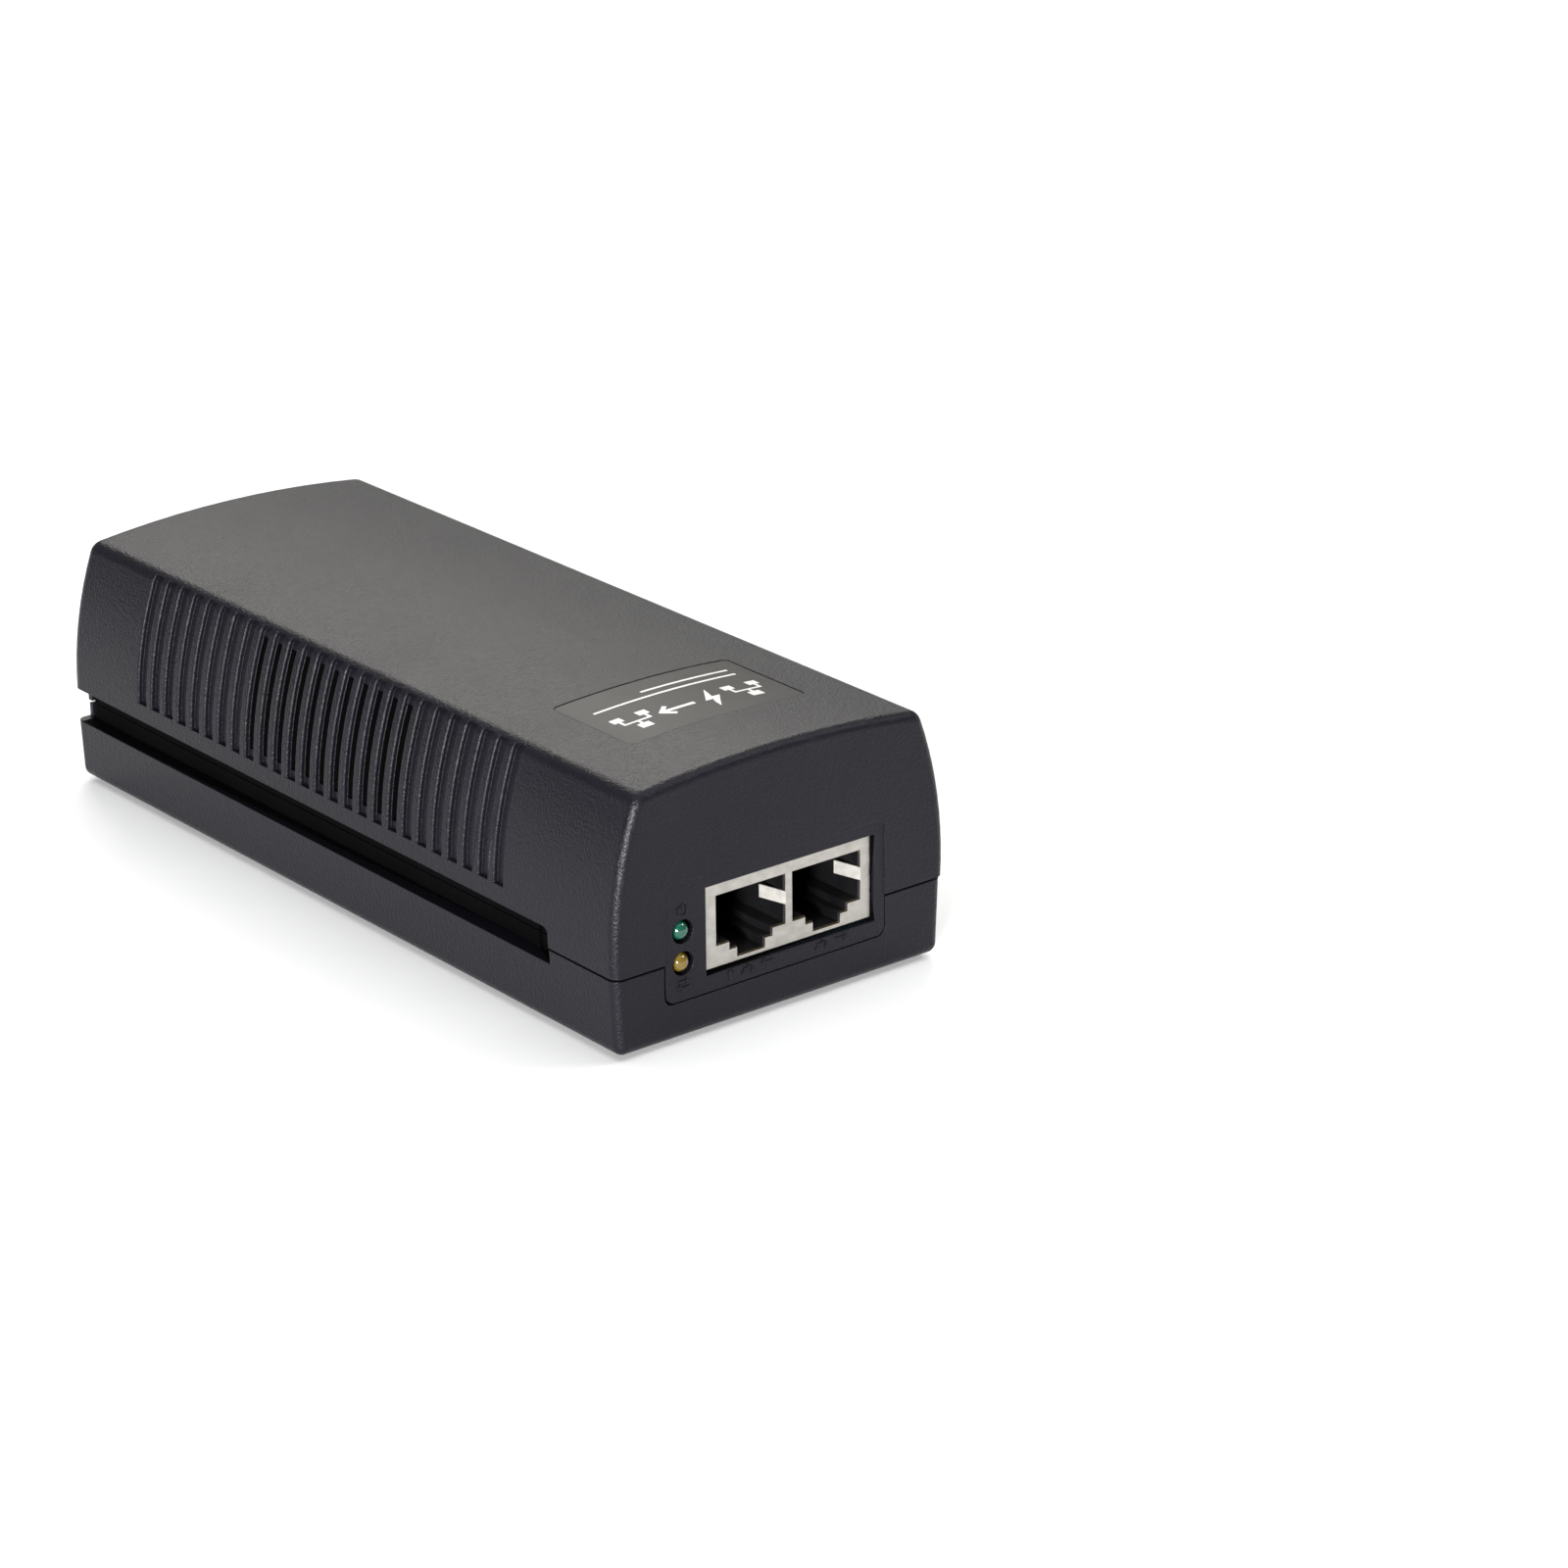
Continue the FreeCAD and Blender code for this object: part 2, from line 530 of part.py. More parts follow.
def cover_channels(body):
    """Upper halves of the bracket channels, open to the side and to the mains end."""
    layer(body, "channel_skins", "XY_Plane", "parting_level", "channel_high + channel_skin",
          rectangle_pair("channel_wall - channel_skin", "case_width / 2 - wall / 2", *CHANNEL_BACK))
    layer(body, "channels", "XY_Plane", "parting_level - wall", "channel_high",
          rectangle_pair("channel_wall", "case_width", *CHANNEL_RUN), cut=True)
    cut_detents(body, "parting_level - wall", "channel_high")
    round_edges(body, "channel_corners", "channel_corner",
                lambda edge: runs_along(edge, "x") and near(edge.CenterOfMass.y, "channel_front")
                and near(edge.CenterOfMass.z, "channel_high"))


def cut_detents(body, low, high):
    """Upright grooves in the backs of the channels, which the bracket's catches enter."""
    for index, start in enumerate(DETENTS, start=1):
        layer(body, f"detents_{index}", "XY_Plane", low, high,
              rectangle_pair("channel_wall - detent_depth", "channel_wall",
                             start, f"{start} + detent_width"), cut=True)


def cover_panel(body):
    """Port panel: a tongue that reaches down into the tray, with openings for jack and lights."""
    front = ("-case_length / 2", "wall - case_length / 2")
    block(body, "panel_tongue", ("panel_left", "panel_right"), front, ("panel_low", "parting_level"))
    round_edges(body, "panel_tongue_rounds", "panel_round",
                lambda edge: runs_along(edge, "y") and near(edge.CenterOfMass.z, "panel_low"))
    layer(body, "panel_step", "XZ_Plane", "-case_length", "panel_step - case_length / 2",
          rounded_rectangle("panel_left", "panel_right", "panel_low - panel_round", "panel_high",
                            "panel_round"), cut=True)
    layer(body, "jack_opening", "XZ_Plane", "-case_length", "wall * 2 - case_length / 2",
          rectangle("jack_left - jack_play", "jack_left + jack_width + jack_play",
                    "jack_low - jack_play * 1.6", "jack_low + jack_height + jack_play / 2"), cut=True)
    layer(body, "led_openings", "XZ_Plane", "-case_length", "wall * 2 - case_length / 2",
          circles("led_hole", ("led_x", "led_high"), ("led_x", "led_low")), cut=True)


def cover_recesses(body):
    """Opening for the mains inlet and the shallow label recess in the crowned top."""
    block(body, "inlet_opening", ("-inlet_width / 2 - inlet_play", "inlet_width / 2 + inlet_play"),
          ("case_length / 2 - wall * 2", "case_length"),
          ("parting_level - wall", "inlet_top + inlet_play"), cut=True)
    layer(body, "label_recess", "XZ_Plane", "label_front", "label_rear",
          crown_band("label_half", "label_depth", "-wall"), cut=True)
    round_edges(body, "label_recess_rounds", "label_round",
                lambda edge: runs_along(edge, "z") and near(abs(edge.CenterOfMass.x), "label_half")
                and edge.BoundBox.ZMin > size("crown_level - wall"))


def crown_band(half, bottom, top):
    """Band that follows the crown between two depths below it."""
    def draw(sketch):
        centre = Vector(0, size("crown_level - top_radius"), 0)
        reach = size(half)
        corners = []
        for depth in (bottom, top):
            rise = math.sqrt(size(f"top_radius - ({depth})") ** 2 - reach ** 2)
            corners.append(centre + Vector(reach, rise, 0))
        low, high = corners
        right = sketch.addGeometry(Part.LineSegment(low, high))
        upper = sketch.addGeometry(arc(centre, high, flipped(high)))
        left = sketch.addGeometry(Part.LineSegment(flipped(high), flipped(low)))
        lower = sketch.addGeometry(arc(centre, low, flipped(low)))
        for first, end, second, start in ((right, 2, upper, 1), (upper, 2, left, 1),
                                          (left, 2, lower, 2), (right, 1, lower, 1)):
            sketch.addConstraint(Sketcher.Constraint("Coincident", first, end, second, start))
        for curve, depth in ((upper, top), (lower, bottom)):
            constrain(sketch, f"top_radius - ({depth})", "Radius", curve)
            sketch.addConstraint(Sketcher.Constraint("PointOnObject", curve, 3, -2))
            constrain(sketch, "crown_level - top_radius", "DistanceY", -1, 1, curve, 3)
        for line in (right, left):
            sketch.addConstraint(Sketcher.Constraint("Vertical", line))
        constrain(sketch, half, "DistanceX", -1, 1, right, 1)
        constrain(sketch, f"-({half})", "DistanceX", -1, 1, left, 1)
    return draw


def top_cover():
    body = new_body("top_cover")
    cover_shell(body)
    cover_channels(body)
    cover_panel(body)
    cover_recesses(body)
    posts(body, "cover_posts", "parting_level", "post_front_top", "post_rear_top", "post_radius")
    posts(body, "cover_pilots", "parting_level - 1", "parting_level + screw_grip",
          "parting_level + screw_grip", "screw_pilot", cut=True)
    cut_vents(body)
    cut_grooves(body)
    return body


TRAY_TOP = "parting_level - parting_gap"


def tray_section():
    top = "case_width / 2 - tray_inset"
    foot = f"{top} - tray_taper"
    return polygon((f"-({foot})", "case_base"), (foot, "case_base"),
                   (top, TRAY_TOP), (f"-({top})", TRAY_TOP))


def tray_shell(body):
    """Open tray with rounded edges and an inner lip."""
    end = "case_length / 2 - tray_inset"
    layer(body, "tray_form", "XZ_Plane", f"-({end})", end, tray_section())
    round_edges(body, "tray_rounds", "tray_round",
                lambda edge: near(edge.CenterOfMass.z, "case_base")
                or edge.BoundBox.ZLength > size("parting_level - case_base") / 2)
    lip_x = "case_width / 2 - lip_wall - lip_play"
    lip_y = "case_length / 2 - lip_wall - lip_play"
    block(body, "tray_lip", (f"-({lip_x})", lip_x), (f"-({lip_y})", lip_y),
          (f"{TRAY_TOP} - wall", "parting_level + lip_height"))
    hollow_x = "case_width / 2 - wall - tray_inset"
    hollow_y = "case_length / 2 - wall - tray_inset"
    block(body, "tray_hollow", (f"-({hollow_x})", hollow_x), (f"-({hollow_y})", hollow_y),
          ("case_base + tray_floor", "crown_level"), cut=True)


def tray_channels(body):
    """Lower halves of the bracket channels."""
    layer(body, "tray_channel_skins", "XY_Plane", "channel_low - channel_skin",
          f"{TRAY_TOP} + lip_wall / 4",
          rectangle_pair("channel_wall - channel_skin", "case_width / 2 - wall / 2", *CHANNEL_BACK))
    layer(body, "tray_channels", "XY_Plane", "channel_low", "crown_level",
          rectangle_pair("channel_wall", "case_width", *CHANNEL_RUN), cut=True)
    cut_detents(body, "channel_low", "crown_level")


def tray_openings(body):
    """Notches for the port panel and the mains inlet, and shallow seats for the feet."""
    block(body, "panel_notch", ("panel_left - panel_gap", "panel_right + panel_gap"),
          ("-case_length", "wall * 1.5 - case_length / 2"), ("panel_low - panel_gap", "crown_level"),
          cut=True)
    round_edges(body, "panel_notch_rounds", "panel_round",
                lambda edge: runs_along(edge, "y") and near(edge.CenterOfMass.z, "panel_low - panel_gap")
                and edge.CenterOfMass.y < 0)
    block(body, "inlet_notch", ("-inlet_width / 2 - inlet_play", "inlet_width / 2 + inlet_play"),
          ("case_length / 2 - wall * 1.5", "case_length"), ("board_top - inlet_play", "crown_level"),
          cut=True)
    seats = [(f"{x}foot_x", f"{y}foot_y") for x in ("", "-") for y in ("", "-")]
    layer(body, "foot_seats", "XY_Plane", "0", "foot_height", circles("foot_radius + inlet_play", *seats),
          cut=True)


STANDOFFS = [(f"{x}standoff_x", f"{y}standoff_y") for x in ("", "-") for y in ("", "-")]


def bottom_tray():
    body = new_body("bottom_tray")
    tray_shell(body)
    tray_channels(body)
    tray_openings(body)
    floor = "case_base + tray_floor"
    posts(body, "tray_bosses", f"{floor} - tray_floor / 2", TRAY_TOP, TRAY_TOP,
          "boss_radius")
    layer(body, "standoffs", "XY_Plane", f"{floor} - tray_floor / 2", "board_top - board_sheet",
          circles("standoff_radius", *STANDOFFS))
    layer(body, "standoff_pilots", "XY_Plane", floor, "board_top",
          circles("board_screw_radius", *STANDOFFS), cut=True)
    posts(body, "screw_holes", "0", "parting_level", "parting_level", "screw_hole", cut=True)
    posts(body, "head_pockets", "0", "case_base + head_sink", "case_base + head_sink", "head_pocket",
          cut=True)
    return body


# ---- labels, feet and screws ----------------------------------------------------------------

def name_label():
    body = new_body("name_label")
    layer(body, "name_label_sheet", "XZ_Plane", "label_front + label_play",
          "label_rear - label_play",
          crown_band("label_half - label_play", "label_depth", "label_depth - label_sheet"))
    round_edges(body, "name_label_rounds", "label_round - label_play",
                lambda edge: runs_along(edge, "z")
                and near(abs(edge.CenterOfMass.x), "label_half - label_play"))
    return body


def rating_label():
    body = new_body("rating_label")
    layer(body, "rating_label_sheet", "XY_Plane", "case_base - rating_sheet", "case_base",
          rounded_rectangle("-rating_width / 2", "rating_width / 2", "-rating_length / 2",
                            "rating_length / 2", "label_round * 2"))
    return body


def rubber_feet():
    feet = []
    for index, (x, y) in enumerate([(x, y) for x in ("", "-") for y in ("", "-")], start=1):
        pad = rod(f"foot_{index}", "foot_radius", "foot_height", (f"{x}foot_x", f"{y}foot_y", "0"))
        feet.append(pad)
    return grouped("rubber_feet", feet)


def cross_screw(name, x, y, head_low, head_radius, head_height, shank_radius, shank_end, head_up):
    """Pan-head screw with a cross recess, its head at the bottom or at the top of the shank."""
    head = rod(f"{name}_head", head_radius, head_height, (x, y, head_low))
    outer = f"{head_low} + {head_height}" if head_up else head_low
    shank_low = shank_end if head_up else f"{head_low} + {head_height}"
    shank_high = head_low if head_up else shank_end
    shank = rod(f"{name}_shank", shank_radius, f"({shank_high}) - ({shank_low})", (x, y, shank_low))
    screw = fused(f"{name}_blank", head, shank)
    depth = (f"{outer} - cross_depth", f"{outer} + cross_depth")
    ways = (("cross_width", "cross_length"), ("cross_length", "cross_width"))
    for way, (across, along) in enumerate(ways):
        slot = solid_box(f"{name}_slot_{way}", (f"{x} - {across} / 2", f"{x} + {across} / 2"),
                         (f"{y} - {along} / 2", f"{y} + {along} / 2"), depth)
        screw = boolean("Cut", f"{name}_cut_{way}", screw, slot)
    return screw


def case_screws():
    places = [("post_front_x", "-post_front_y"), ("-post_front_x", "-post_front_y"),
              ("post_rear_x", "post_rear_y"), ("-post_rear_x", "post_rear_y")]
    return grouped("case_screws", [
        cross_screw(f"case_screw_{index}", x, y, "case_base + head_sink - head_height", "head_radius",
                    "head_height", "screw_pilot", "parting_level + screw_grip - 2 * screw_end_play",
                    head_up=False)
        for index, (x, y) in enumerate(places, start=1)])


def board_screws():
    return grouped("board_screws", [
        cross_screw(f"board_screw_{index}", x, y, "board_top", "board_head_radius",
                    "board_head_height", "board_screw_radius", "case_base + tray_floor + screw_end_play",
                    head_up=True)
        for index, (x, y) in enumerate(STANDOFFS, start=1)])


# ---- double network jack --------------------------------------------------------------------

JACK_BACK = "jack_setback - case_length / 2 + jack_depth"


def port_outline(left, inset):
    """Opening of one port, its latch at the bottom; the inset narrows it all round."""
    right = f"{left} + port_width"
    side = "port_top - port_side"
    step = f"{side} - port_step_down"
    corners = [(f"{left} + {inset}", f"port_top - {inset}"), (f"{left} + {inset}", f"{side} + {inset}"),
               (f"{left} + port_step_in + {inset}", f"{side} + {inset}"),
               (f"{left} + port_step_in + {inset}", f"{step} + {inset}"),
               (f"{left} + port_step_in + latch_step_in + {inset}", f"{step} + {inset}"),
               (f"{left} + port_step_in + latch_step_in + {inset}", f"latch_bottom + {inset}")]
    across = f"{left} + {right}"
    corners += [(f"{across} - ({x})", level) for x, level in reversed(corners)]
    return polygon(*corners)


PORTS = ("port_left", "port_left + port_pitch")


def jack_shield():
    """Sheet-metal shell open at the back and below, with two port openings and contact fingers."""
    body = new_body("jack_shield")
    front = "jack_setback - case_length / 2"
    right = "jack_left + jack_width"
    block(body, "shield_form", ("jack_left", right), (front, JACK_BACK),
          ("jack_low", "jack_low + jack_height"))
    block(body, "shield_hollow", ("jack_left + shield_sheet", f"{right} - shield_sheet"),
          (f"{front} + shield_sheet", "case_length"), ("0", "jack_low + jack_height - shield_sheet"),
          cut=True)
    for index, left in enumerate(PORTS, start=1):
        layer(body, f"shield_port_{index}", "XZ_Plane", "-case_length", f"{front} + shield_sheet * 2",
              port_outline(left, "0"), cut=True)
    for index, left in enumerate(PORTS, start=1):
        for side, (edge, turn) in enumerate(((left, ""), (f"{left} + port_width", "-"))):
            finger = [(f"{edge} - ({turn}finger_root)", front), (edge, front),
                      (f"{edge} + ({turn}finger_bend)", f"{front} + finger_reach"),
                      (f"{edge} + ({turn}(finger_bend - shield_sheet))", f"{front} + finger_reach"),
                      (f"{edge} - ({turn}finger_fold)", f"{front} + shield_sheet"),
                      (f"{edge} - ({turn}finger_root)", f"{front} + shield_sheet")]
            layer(body, f"finger_{index}_{side}", "XY_Plane", "finger_low", "finger_high", polygon(*finger))
    return body


def jack_housing():
    """Plastic body inside the shell, with a stepped cavity for each plug."""
    body = new_body("jack_housing")
    skin = "shield_sheet + housing_play"
    front = f"jack_setback - case_length / 2 + {skin}"
    block(body, "housing_form", (f"jack_left + {skin}", f"jack_left + jack_width - ({skin})"),
          (front, f"{JACK_BACK} - 0.1"), ("jack_low", f"jack_low + jack_height - ({skin})"))
    for index, left in enumerate(PORTS, start=1):
        layer(body, f"plug_cavity_{index}", "XZ_Plane", "-case_length", f"{front} + port_depth",
              port_outline(left, "port_lip"), cut=True)
        right = f"{left} + port_width"
        rooms = ((f"{left} - finger_slot_side", f"{left} + finger_bend - finger_play"),
                 (f"{right} - finger_bend + finger_play", f"{right} + finger_slot_side"))
        for side, across in enumerate(rooms):
            block(body, f"finger_room_{index}_{side}", across,
                  ("-case_length", f"{front} + finger_reach + finger_slot_rear"),
                  ("finger_low - finger_play", "finger_high + finger_play"), cut=True)
    return body


def port_contacts():
    """Eight sprung contact wires in the roof of each port, slanting down towards the back."""
    wires = []
    for port, left in enumerate(PORTS):
        for contact in range(8):
            x = f"{left} + port_width / 2 + ({contact} - 3.5) * contact_pitch"
            wire = rod(f"contact_{port}_{contact}", "contact_radius", "contact_length",
                       (x, "contact_front", "contact_top"), "y")
            bind(wire, Placement__Rotation__Angle="-90 - contact_tilt")
            wires.append(wire)
    return grouped("port_contacts", wires)


# ---- status lights --------------------------------------------------------------------------

def led_lens(name, level):
    """Light with a round nose that fills the hole in the panel and a flange at its back."""
    nose = document.addObject("Part::Sphere", f"{name}_nose")
    bind(nose, Radius="led_radius")
    stand(nose, ("led_x", "led_tip + led_radius", level), "z")
    barrel = rod(f"{name}_barrel", "led_radius", "led_body - led_radius",
                 ("led_x", "led_tip + led_radius", level), "y")
    flange = rod(f"{name}_flange", "led_flange", "led_flange_sheet",
                 ("led_x", "led_tip + led_body", level), "y")
    return fused(name, nose, barrel, flange)


def power_led():
    return led_lens("power_led", "led_high")


def data_led():
    return led_lens("data_led", "led_low")


def led_holder():
    """Block behind the panel that holds both lights."""
    body = new_body("led_holder")
    block(body, "holder_form", ("led_x - holder_half", "led_x + holder_half"),
          ("wall + holder_play - case_length / 2", "led_tip + led_body"),
          ("board_top", "led_high + holder_rise"))
    layer(body, "holder_bores", "XZ_Plane", "-case_length", "0",
          circles("led_radius + holder_play", ("led_x", "led_high"), ("led_x", "led_low")), cut=True)
    return body


def led_leads():
    """Two wires from each light, back and then down to the board."""
    back = "led_tip + led_body + led_flange_sheet"
    leads = []
    bends = (("led_high", "lead_reach_high"), ("led_low", "lead_reach_low"))
    for index, (level, reach) in enumerate(bends, start=1):
        for side in ("-", "+"):
            x = f"led_x {side} led_lead_gap"
            name = f"lead_{index}_{'left' if side == '-' else 'right'}"
            flat = rod(f"{name}_flat", "led_lead", f"{reach} + led_lead / 2", (x, back, level), "y")
            drop = rod(f"{name}_drop", "led_lead", f"{level} + led_lead / 2 - board_top",
                       (x, f"{back} + {reach}", "board_top"))
            leads.append(fused(name, flat, drop))
    return grouped("led_leads", leads)


# ---- circuit board and mains inlet ----------------------------------------------------------

def circuit_board():
    """Board with its corners cut away around the four case posts."""
    body = new_body("circuit_board")
    right = [("notch_front_x", "-board_end"), ("notch_front_x", "-notch_front_y"),
             ("board_half", "-notch_front_y"), ("board_half", "notch_rear_y"),
             ("notch_rear_x", "notch_rear_y"), ("notch_rear_x", "board_end")]
    left = [(f"-{across}", along) for across, along in reversed(right)]
    layer(body, "board_form", "XY_Plane", "board_top - board_sheet", "board_top", polygon(*right, *left))
    layer(body, "board_holes", "XY_Plane", "board_top - board_sheet * 2", "board_top + 1",
          circles("board_hole", *STANDOFFS), cut=True)
    return body


def insulating_sheet():
    """Thin insulating sheet on the tray's floor, under the board."""
    return solid_box("insulating_sheet", ("-sheet_half_x", "sheet_half_x"),
                     ("-sheet_half_y", "sheet_half_y"),
                     ("case_base + tray_floor", "case_base + tray_floor + sheet_thickness"))


PINS = [("-pin_pitch / 2", "recess_centre - earth_offset / 2"),
        ("pin_pitch / 2", "recess_centre - earth_offset / 2"),
        ("0", "recess_centre + earth_offset / 2")]


def inlet_housing():
    """Mains inlet: a deep recess with two chamfered corners, and a flange inside the case."""
    body = new_body("inlet_housing")
    face = "case_length / 2 - inlet_setback"
    half = "inlet_width / 2"
    block(body, "inlet_form", (f"-{half}", half), ("inlet_front", face), ("board_top", "inlet_top"))
    inner = "case_length / 2 - wall - inlet_play"
    block(body, "inlet_flange_plate", (f"-{half} - inlet_flange_step", f"{half} + inlet_flange_step"),
          (f"{inner} - inlet_flange", inner), ("board_top", "inlet_top + inlet_flange_step"))
    low, high = "recess_centre - recess_height / 2", "recess_centre + recess_height / 2"
    side = "recess_width / 2"
    outline = [(f"-{side}", low), (side, low), (side, f"{high} - recess_chamfer"),
               (f"{side} - recess_chamfer", high), (f"recess_chamfer - {side}", high),
               (f"-{side}", f"{high} - recess_chamfer")]
    layer(body, "inlet_recess", "XZ_Plane", f"{face} - recess_depth", "case_length", polygon(*outline),
          cut=True)
    for index, (x, z) in enumerate(PINS, start=1):
        layer(body, f"pin_slot_{index}", "XZ_Plane", "0", "case_length / 2 - recess_depth",
              rectangle(f"{x} - pin_width / 2", f"{x} + pin_width / 2", f"{z} - pin_height / 2",
                        f"{z} + pin_height / 2"), cut=True)
    return body


def inlet_pins():
    """Line, neutral and earth blades, each with a tail down to the board."""
    blades = []
    for index, (x, z) in enumerate(PINS, start=1):
        across = (f"{x} - pin_width / 2", f"{x} + pin_width / 2")
        blade = solid_box(f"blade_{index}", across,
                          ("inlet_front - pin_tail", "case_length / 2 - pin_setback"),
                          (f"{z} - pin_height / 2", f"{z} + pin_height / 2"))
        tail = solid_box(f"tail_{index}", across, ("inlet_front - pin_tail", "inlet_front"),
                         ("board_top", z))
        blades.append(fused(f"pin_{index}", blade, tail))
    return grouped("inlet_pins", blades)


# ---- parts on the board ---------------------------------------------------------------------

def board_block(name):
    return solid_box(name, (f"{name}_x - {name}_across / 2", f"{name}_x + {name}_across / 2"),
                     (f"{name}_y - {name}_along / 2", f"{name}_y + {name}_along / 2"),
                     ("board_top", f"board_top + {name}_height"))


def board_can(name):
    """Upright round part with its rims rounded."""
    can = rod(f"{name}_can", f"{name}_radius", f"{name}_height", (f"{name}_x", f"{name}_y", "board_top"))
    document.recompute()
    part = document.addObject("Part::Fillet", name)
    part.Base = can
    rim = size("can_round")
    part.Edges = [(index, rim, rim) for index, edge in enumerate(can.Shape.Edges, start=1)
                  if edge.BoundBox.ZLength <= rim]
    return part


def board_disc(name, x, y):
    """Coated disc that stands on edge."""
    return rod(name, "disc_radius", "disc_sheet",
               (x, f"{y} - disc_sheet / 2", "board_top + disc_lift + disc_radius"), "y")


def surge_varistor():
    return board_disc("surge_varistor", "varistor_x", "varistor_y")


def inrush_thermistor():
    return board_disc("inrush_thermistor", "thermistor_x", "thermistor_y")


def safety_capacitors():
    return grouped("safety_capacitors", [
        board_disc("safety_disc_1", "safety_x", "safety_y"),
        board_disc("safety_disc_2", "safety_x", "safety_y - safety_gap")])


def choke_ring(name, outer, inner, half):
    """Ring that stands on edge on the choke's axis."""
    start = ("0", f"choke_y - ({half})", "choke_level")
    rim = rod(f"{name}_rim", outer, f"2 * ({half})", start, "y")
    bore = rod(f"{name}_bore", inner, f"2 * ({half})", start, "y")
    return boolean("Cut", name, rim, bore)


def choke_core():
    return choke_ring("choke_core", "choke_outer", "choke_inner", "choke_half")


def choke_windings():
    """Two windings on the ring, left and right, apart at the top and bottom."""
    sides = []
    reach = "choke_outer + 2 * choke_coil"
    halves = ((f"-({reach})", "-choke_parting"), ("choke_parting", reach))
    for side, (low, high) in enumerate(halves, start=1):
        coil = choke_ring(f"coil_{side}", "choke_outer + choke_coil", "choke_inner - choke_coil",
                          "choke_half + choke_coil")
        core = choke_ring(f"coil_room_{side}", "choke_outer", "choke_inner", "choke_half")
        hollow = boolean("Cut", f"coil_hollow_{side}", coil, core)
        half = solid_box(f"coil_half_{side}", (low, high),
                         ("choke_y - choke_outer", "choke_y + choke_outer"),
                         (f"choke_level - ({reach})", f"choke_level + {reach}"))
        sides.append(boolean("Common", f"winding_{side}", hollow, half))
    return grouped("choke_windings", sides)


def heat_sink(name, start):
    """Finned plate that stands along the right side of the board."""
    upright = ("board_top", "board_top + sink_height")
    across = ("sink_low_x + sink_sheet / 2", "sink_low_x + sink_sheet + fin_reach")
    plate = solid_box(f"{name}_plate", ("sink_low_x", "sink_low_x + sink_sheet"),
                      (start, f"{start} + sink_length"), upright)
    fins = []
    for index in range(int(DIMENSIONS["fin_count"])):
        low = f"{start} + fin_start + {index} * fin_pitch"
        fins.append(solid_box(f"{name}_fin_{index + 1}", across, (low, f"{low} + fin_sheet"), upright))
    return fused(name, plate, *fins)


def primary_heatsink():
    return heat_sink("primary_heatsink", "primary_sink_y")


def secondary_heatsink():
    return heat_sink("secondary_heatsink", "secondary_sink_y")


def tab_device(name, middle):
    """Flat power device held against a heat sink."""
    return solid_box(name, ("sink_low_x - tab_sheet", "sink_low_x"),
                     (f"{middle} - tab_across / 2", f"{middle} + tab_across / 2"),
                     ("board_top + tab_lift", "board_top + tab_lift + tab_height"))


def switching_transistor():
    return tab_device("switching_transistor", "primary_tab_y")


def output_rectifier():
    return tab_device("output_rectifier", "secondary_tab_y")


def heatsink_screws():
    return grouped("heatsink_screws", [
        rod(f"sink_screw_{index}", "tab_screw_radius", "tab_screw_head",
            ("sink_low_x - tab_sheet - tab_screw_head", middle, "tab_screw_level"), "x")
        for index, middle in enumerate(("primary_tab_y", "secondary_tab_y"), start=1)])


CORE_LOW = "board_top + bobbin_base"


def around_core(name, half_x, half_y, low, high):
    return solid_box(name, (f"core_x - ({half_x})", f"core_x + {half_x}"),
                     (f"core_y - ({half_y})", f"core_y + {half_y}"), (low, high))


def transformer_core():
    """Pair of E cores: a closed frame with a middle leg through the bobbin."""
    body = new_body("transformer_core")
    top = f"{CORE_LOW} + core_height"
    depth = ("core_y - core_along / 2", "core_y + core_along / 2")
    block(body, "core_form", ("core_x - core_across / 2", "core_x + core_across / 2"), depth,
          (CORE_LOW, top))
    window = rectangle("core_x + core_middle / 2", "core_x + core_across / 2 - core_leg",
                       f"{CORE_LOW} + core_leg", f"{top} - core_leg")
    mirrored = rectangle("core_x - core_across / 2 + core_leg", "core_x - core_middle / 2",
                         f"{CORE_LOW} + core_leg", f"{top} - core_leg")
    for side, outline in enumerate((window, mirrored), start=1):
        layer(body, f"core_window_{side}", "XZ_Plane", "-case_length", "case_length", outline, cut=True)
    return body


def bobbin_levels():
    return f"{CORE_LOW} + core_leg + bobbin_play", f"{CORE_LOW} + core_height - core_leg - bobbin_play"


def transformer_bobbin():
    """Former with two flanges on a square tube around the core's middle leg."""
    low, high = bobbin_levels()
    leg_x = "core_middle / 2 + bobbin_play"
    leg_y = "core_along / 2 + bobbin_play"
    tube = around_core("bobbin_tube", f"{leg_x} + bobbin_skin", f"{leg_y} + bobbin_skin", low, high)
    inner = "core_across / 2 - core_leg - bobbin_play"
    lower = around_core("bobbin_lower_flange", inner, "bobbin_half", low, f"{low} + bobbin_skin")
    upper = around_core("bobbin_upper_flange", inner, "bobbin_half", f"{high} - bobbin_skin", high)
    leg = around_core("bobbin_leg_room", leg_x, leg_y, CORE_LOW, f"{CORE_LOW} + core_height")
    return boolean("Cut", "transformer_bobbin", fused("bobbin_form", tube, lower, upper), leg)


def transformer_winding():
    """Taped winding between the bobbin's flanges."""
    low, high = bobbin_levels()
    outer = around_core("winding_form", "core_across / 2 - core_leg - bobbin_play - winding_step",
                        "winding_half", f"{low} + bobbin_skin", f"{high} - bobbin_skin")
    tube = around_core("winding_room", "core_middle / 2 + bobbin_play + bobbin_skin",
                       "core_along / 2 + bobbin_play + bobbin_skin", CORE_LOW, f"{CORE_LOW} + core_height")
    return boolean("Cut", "transformer_winding", outer, tube)


def transformer_base():
    """Pin block that carries the transformer on the board."""
    return around_core("transformer_base", "core_across / 2", "bobbin_half", "board_top", CORE_LOW)


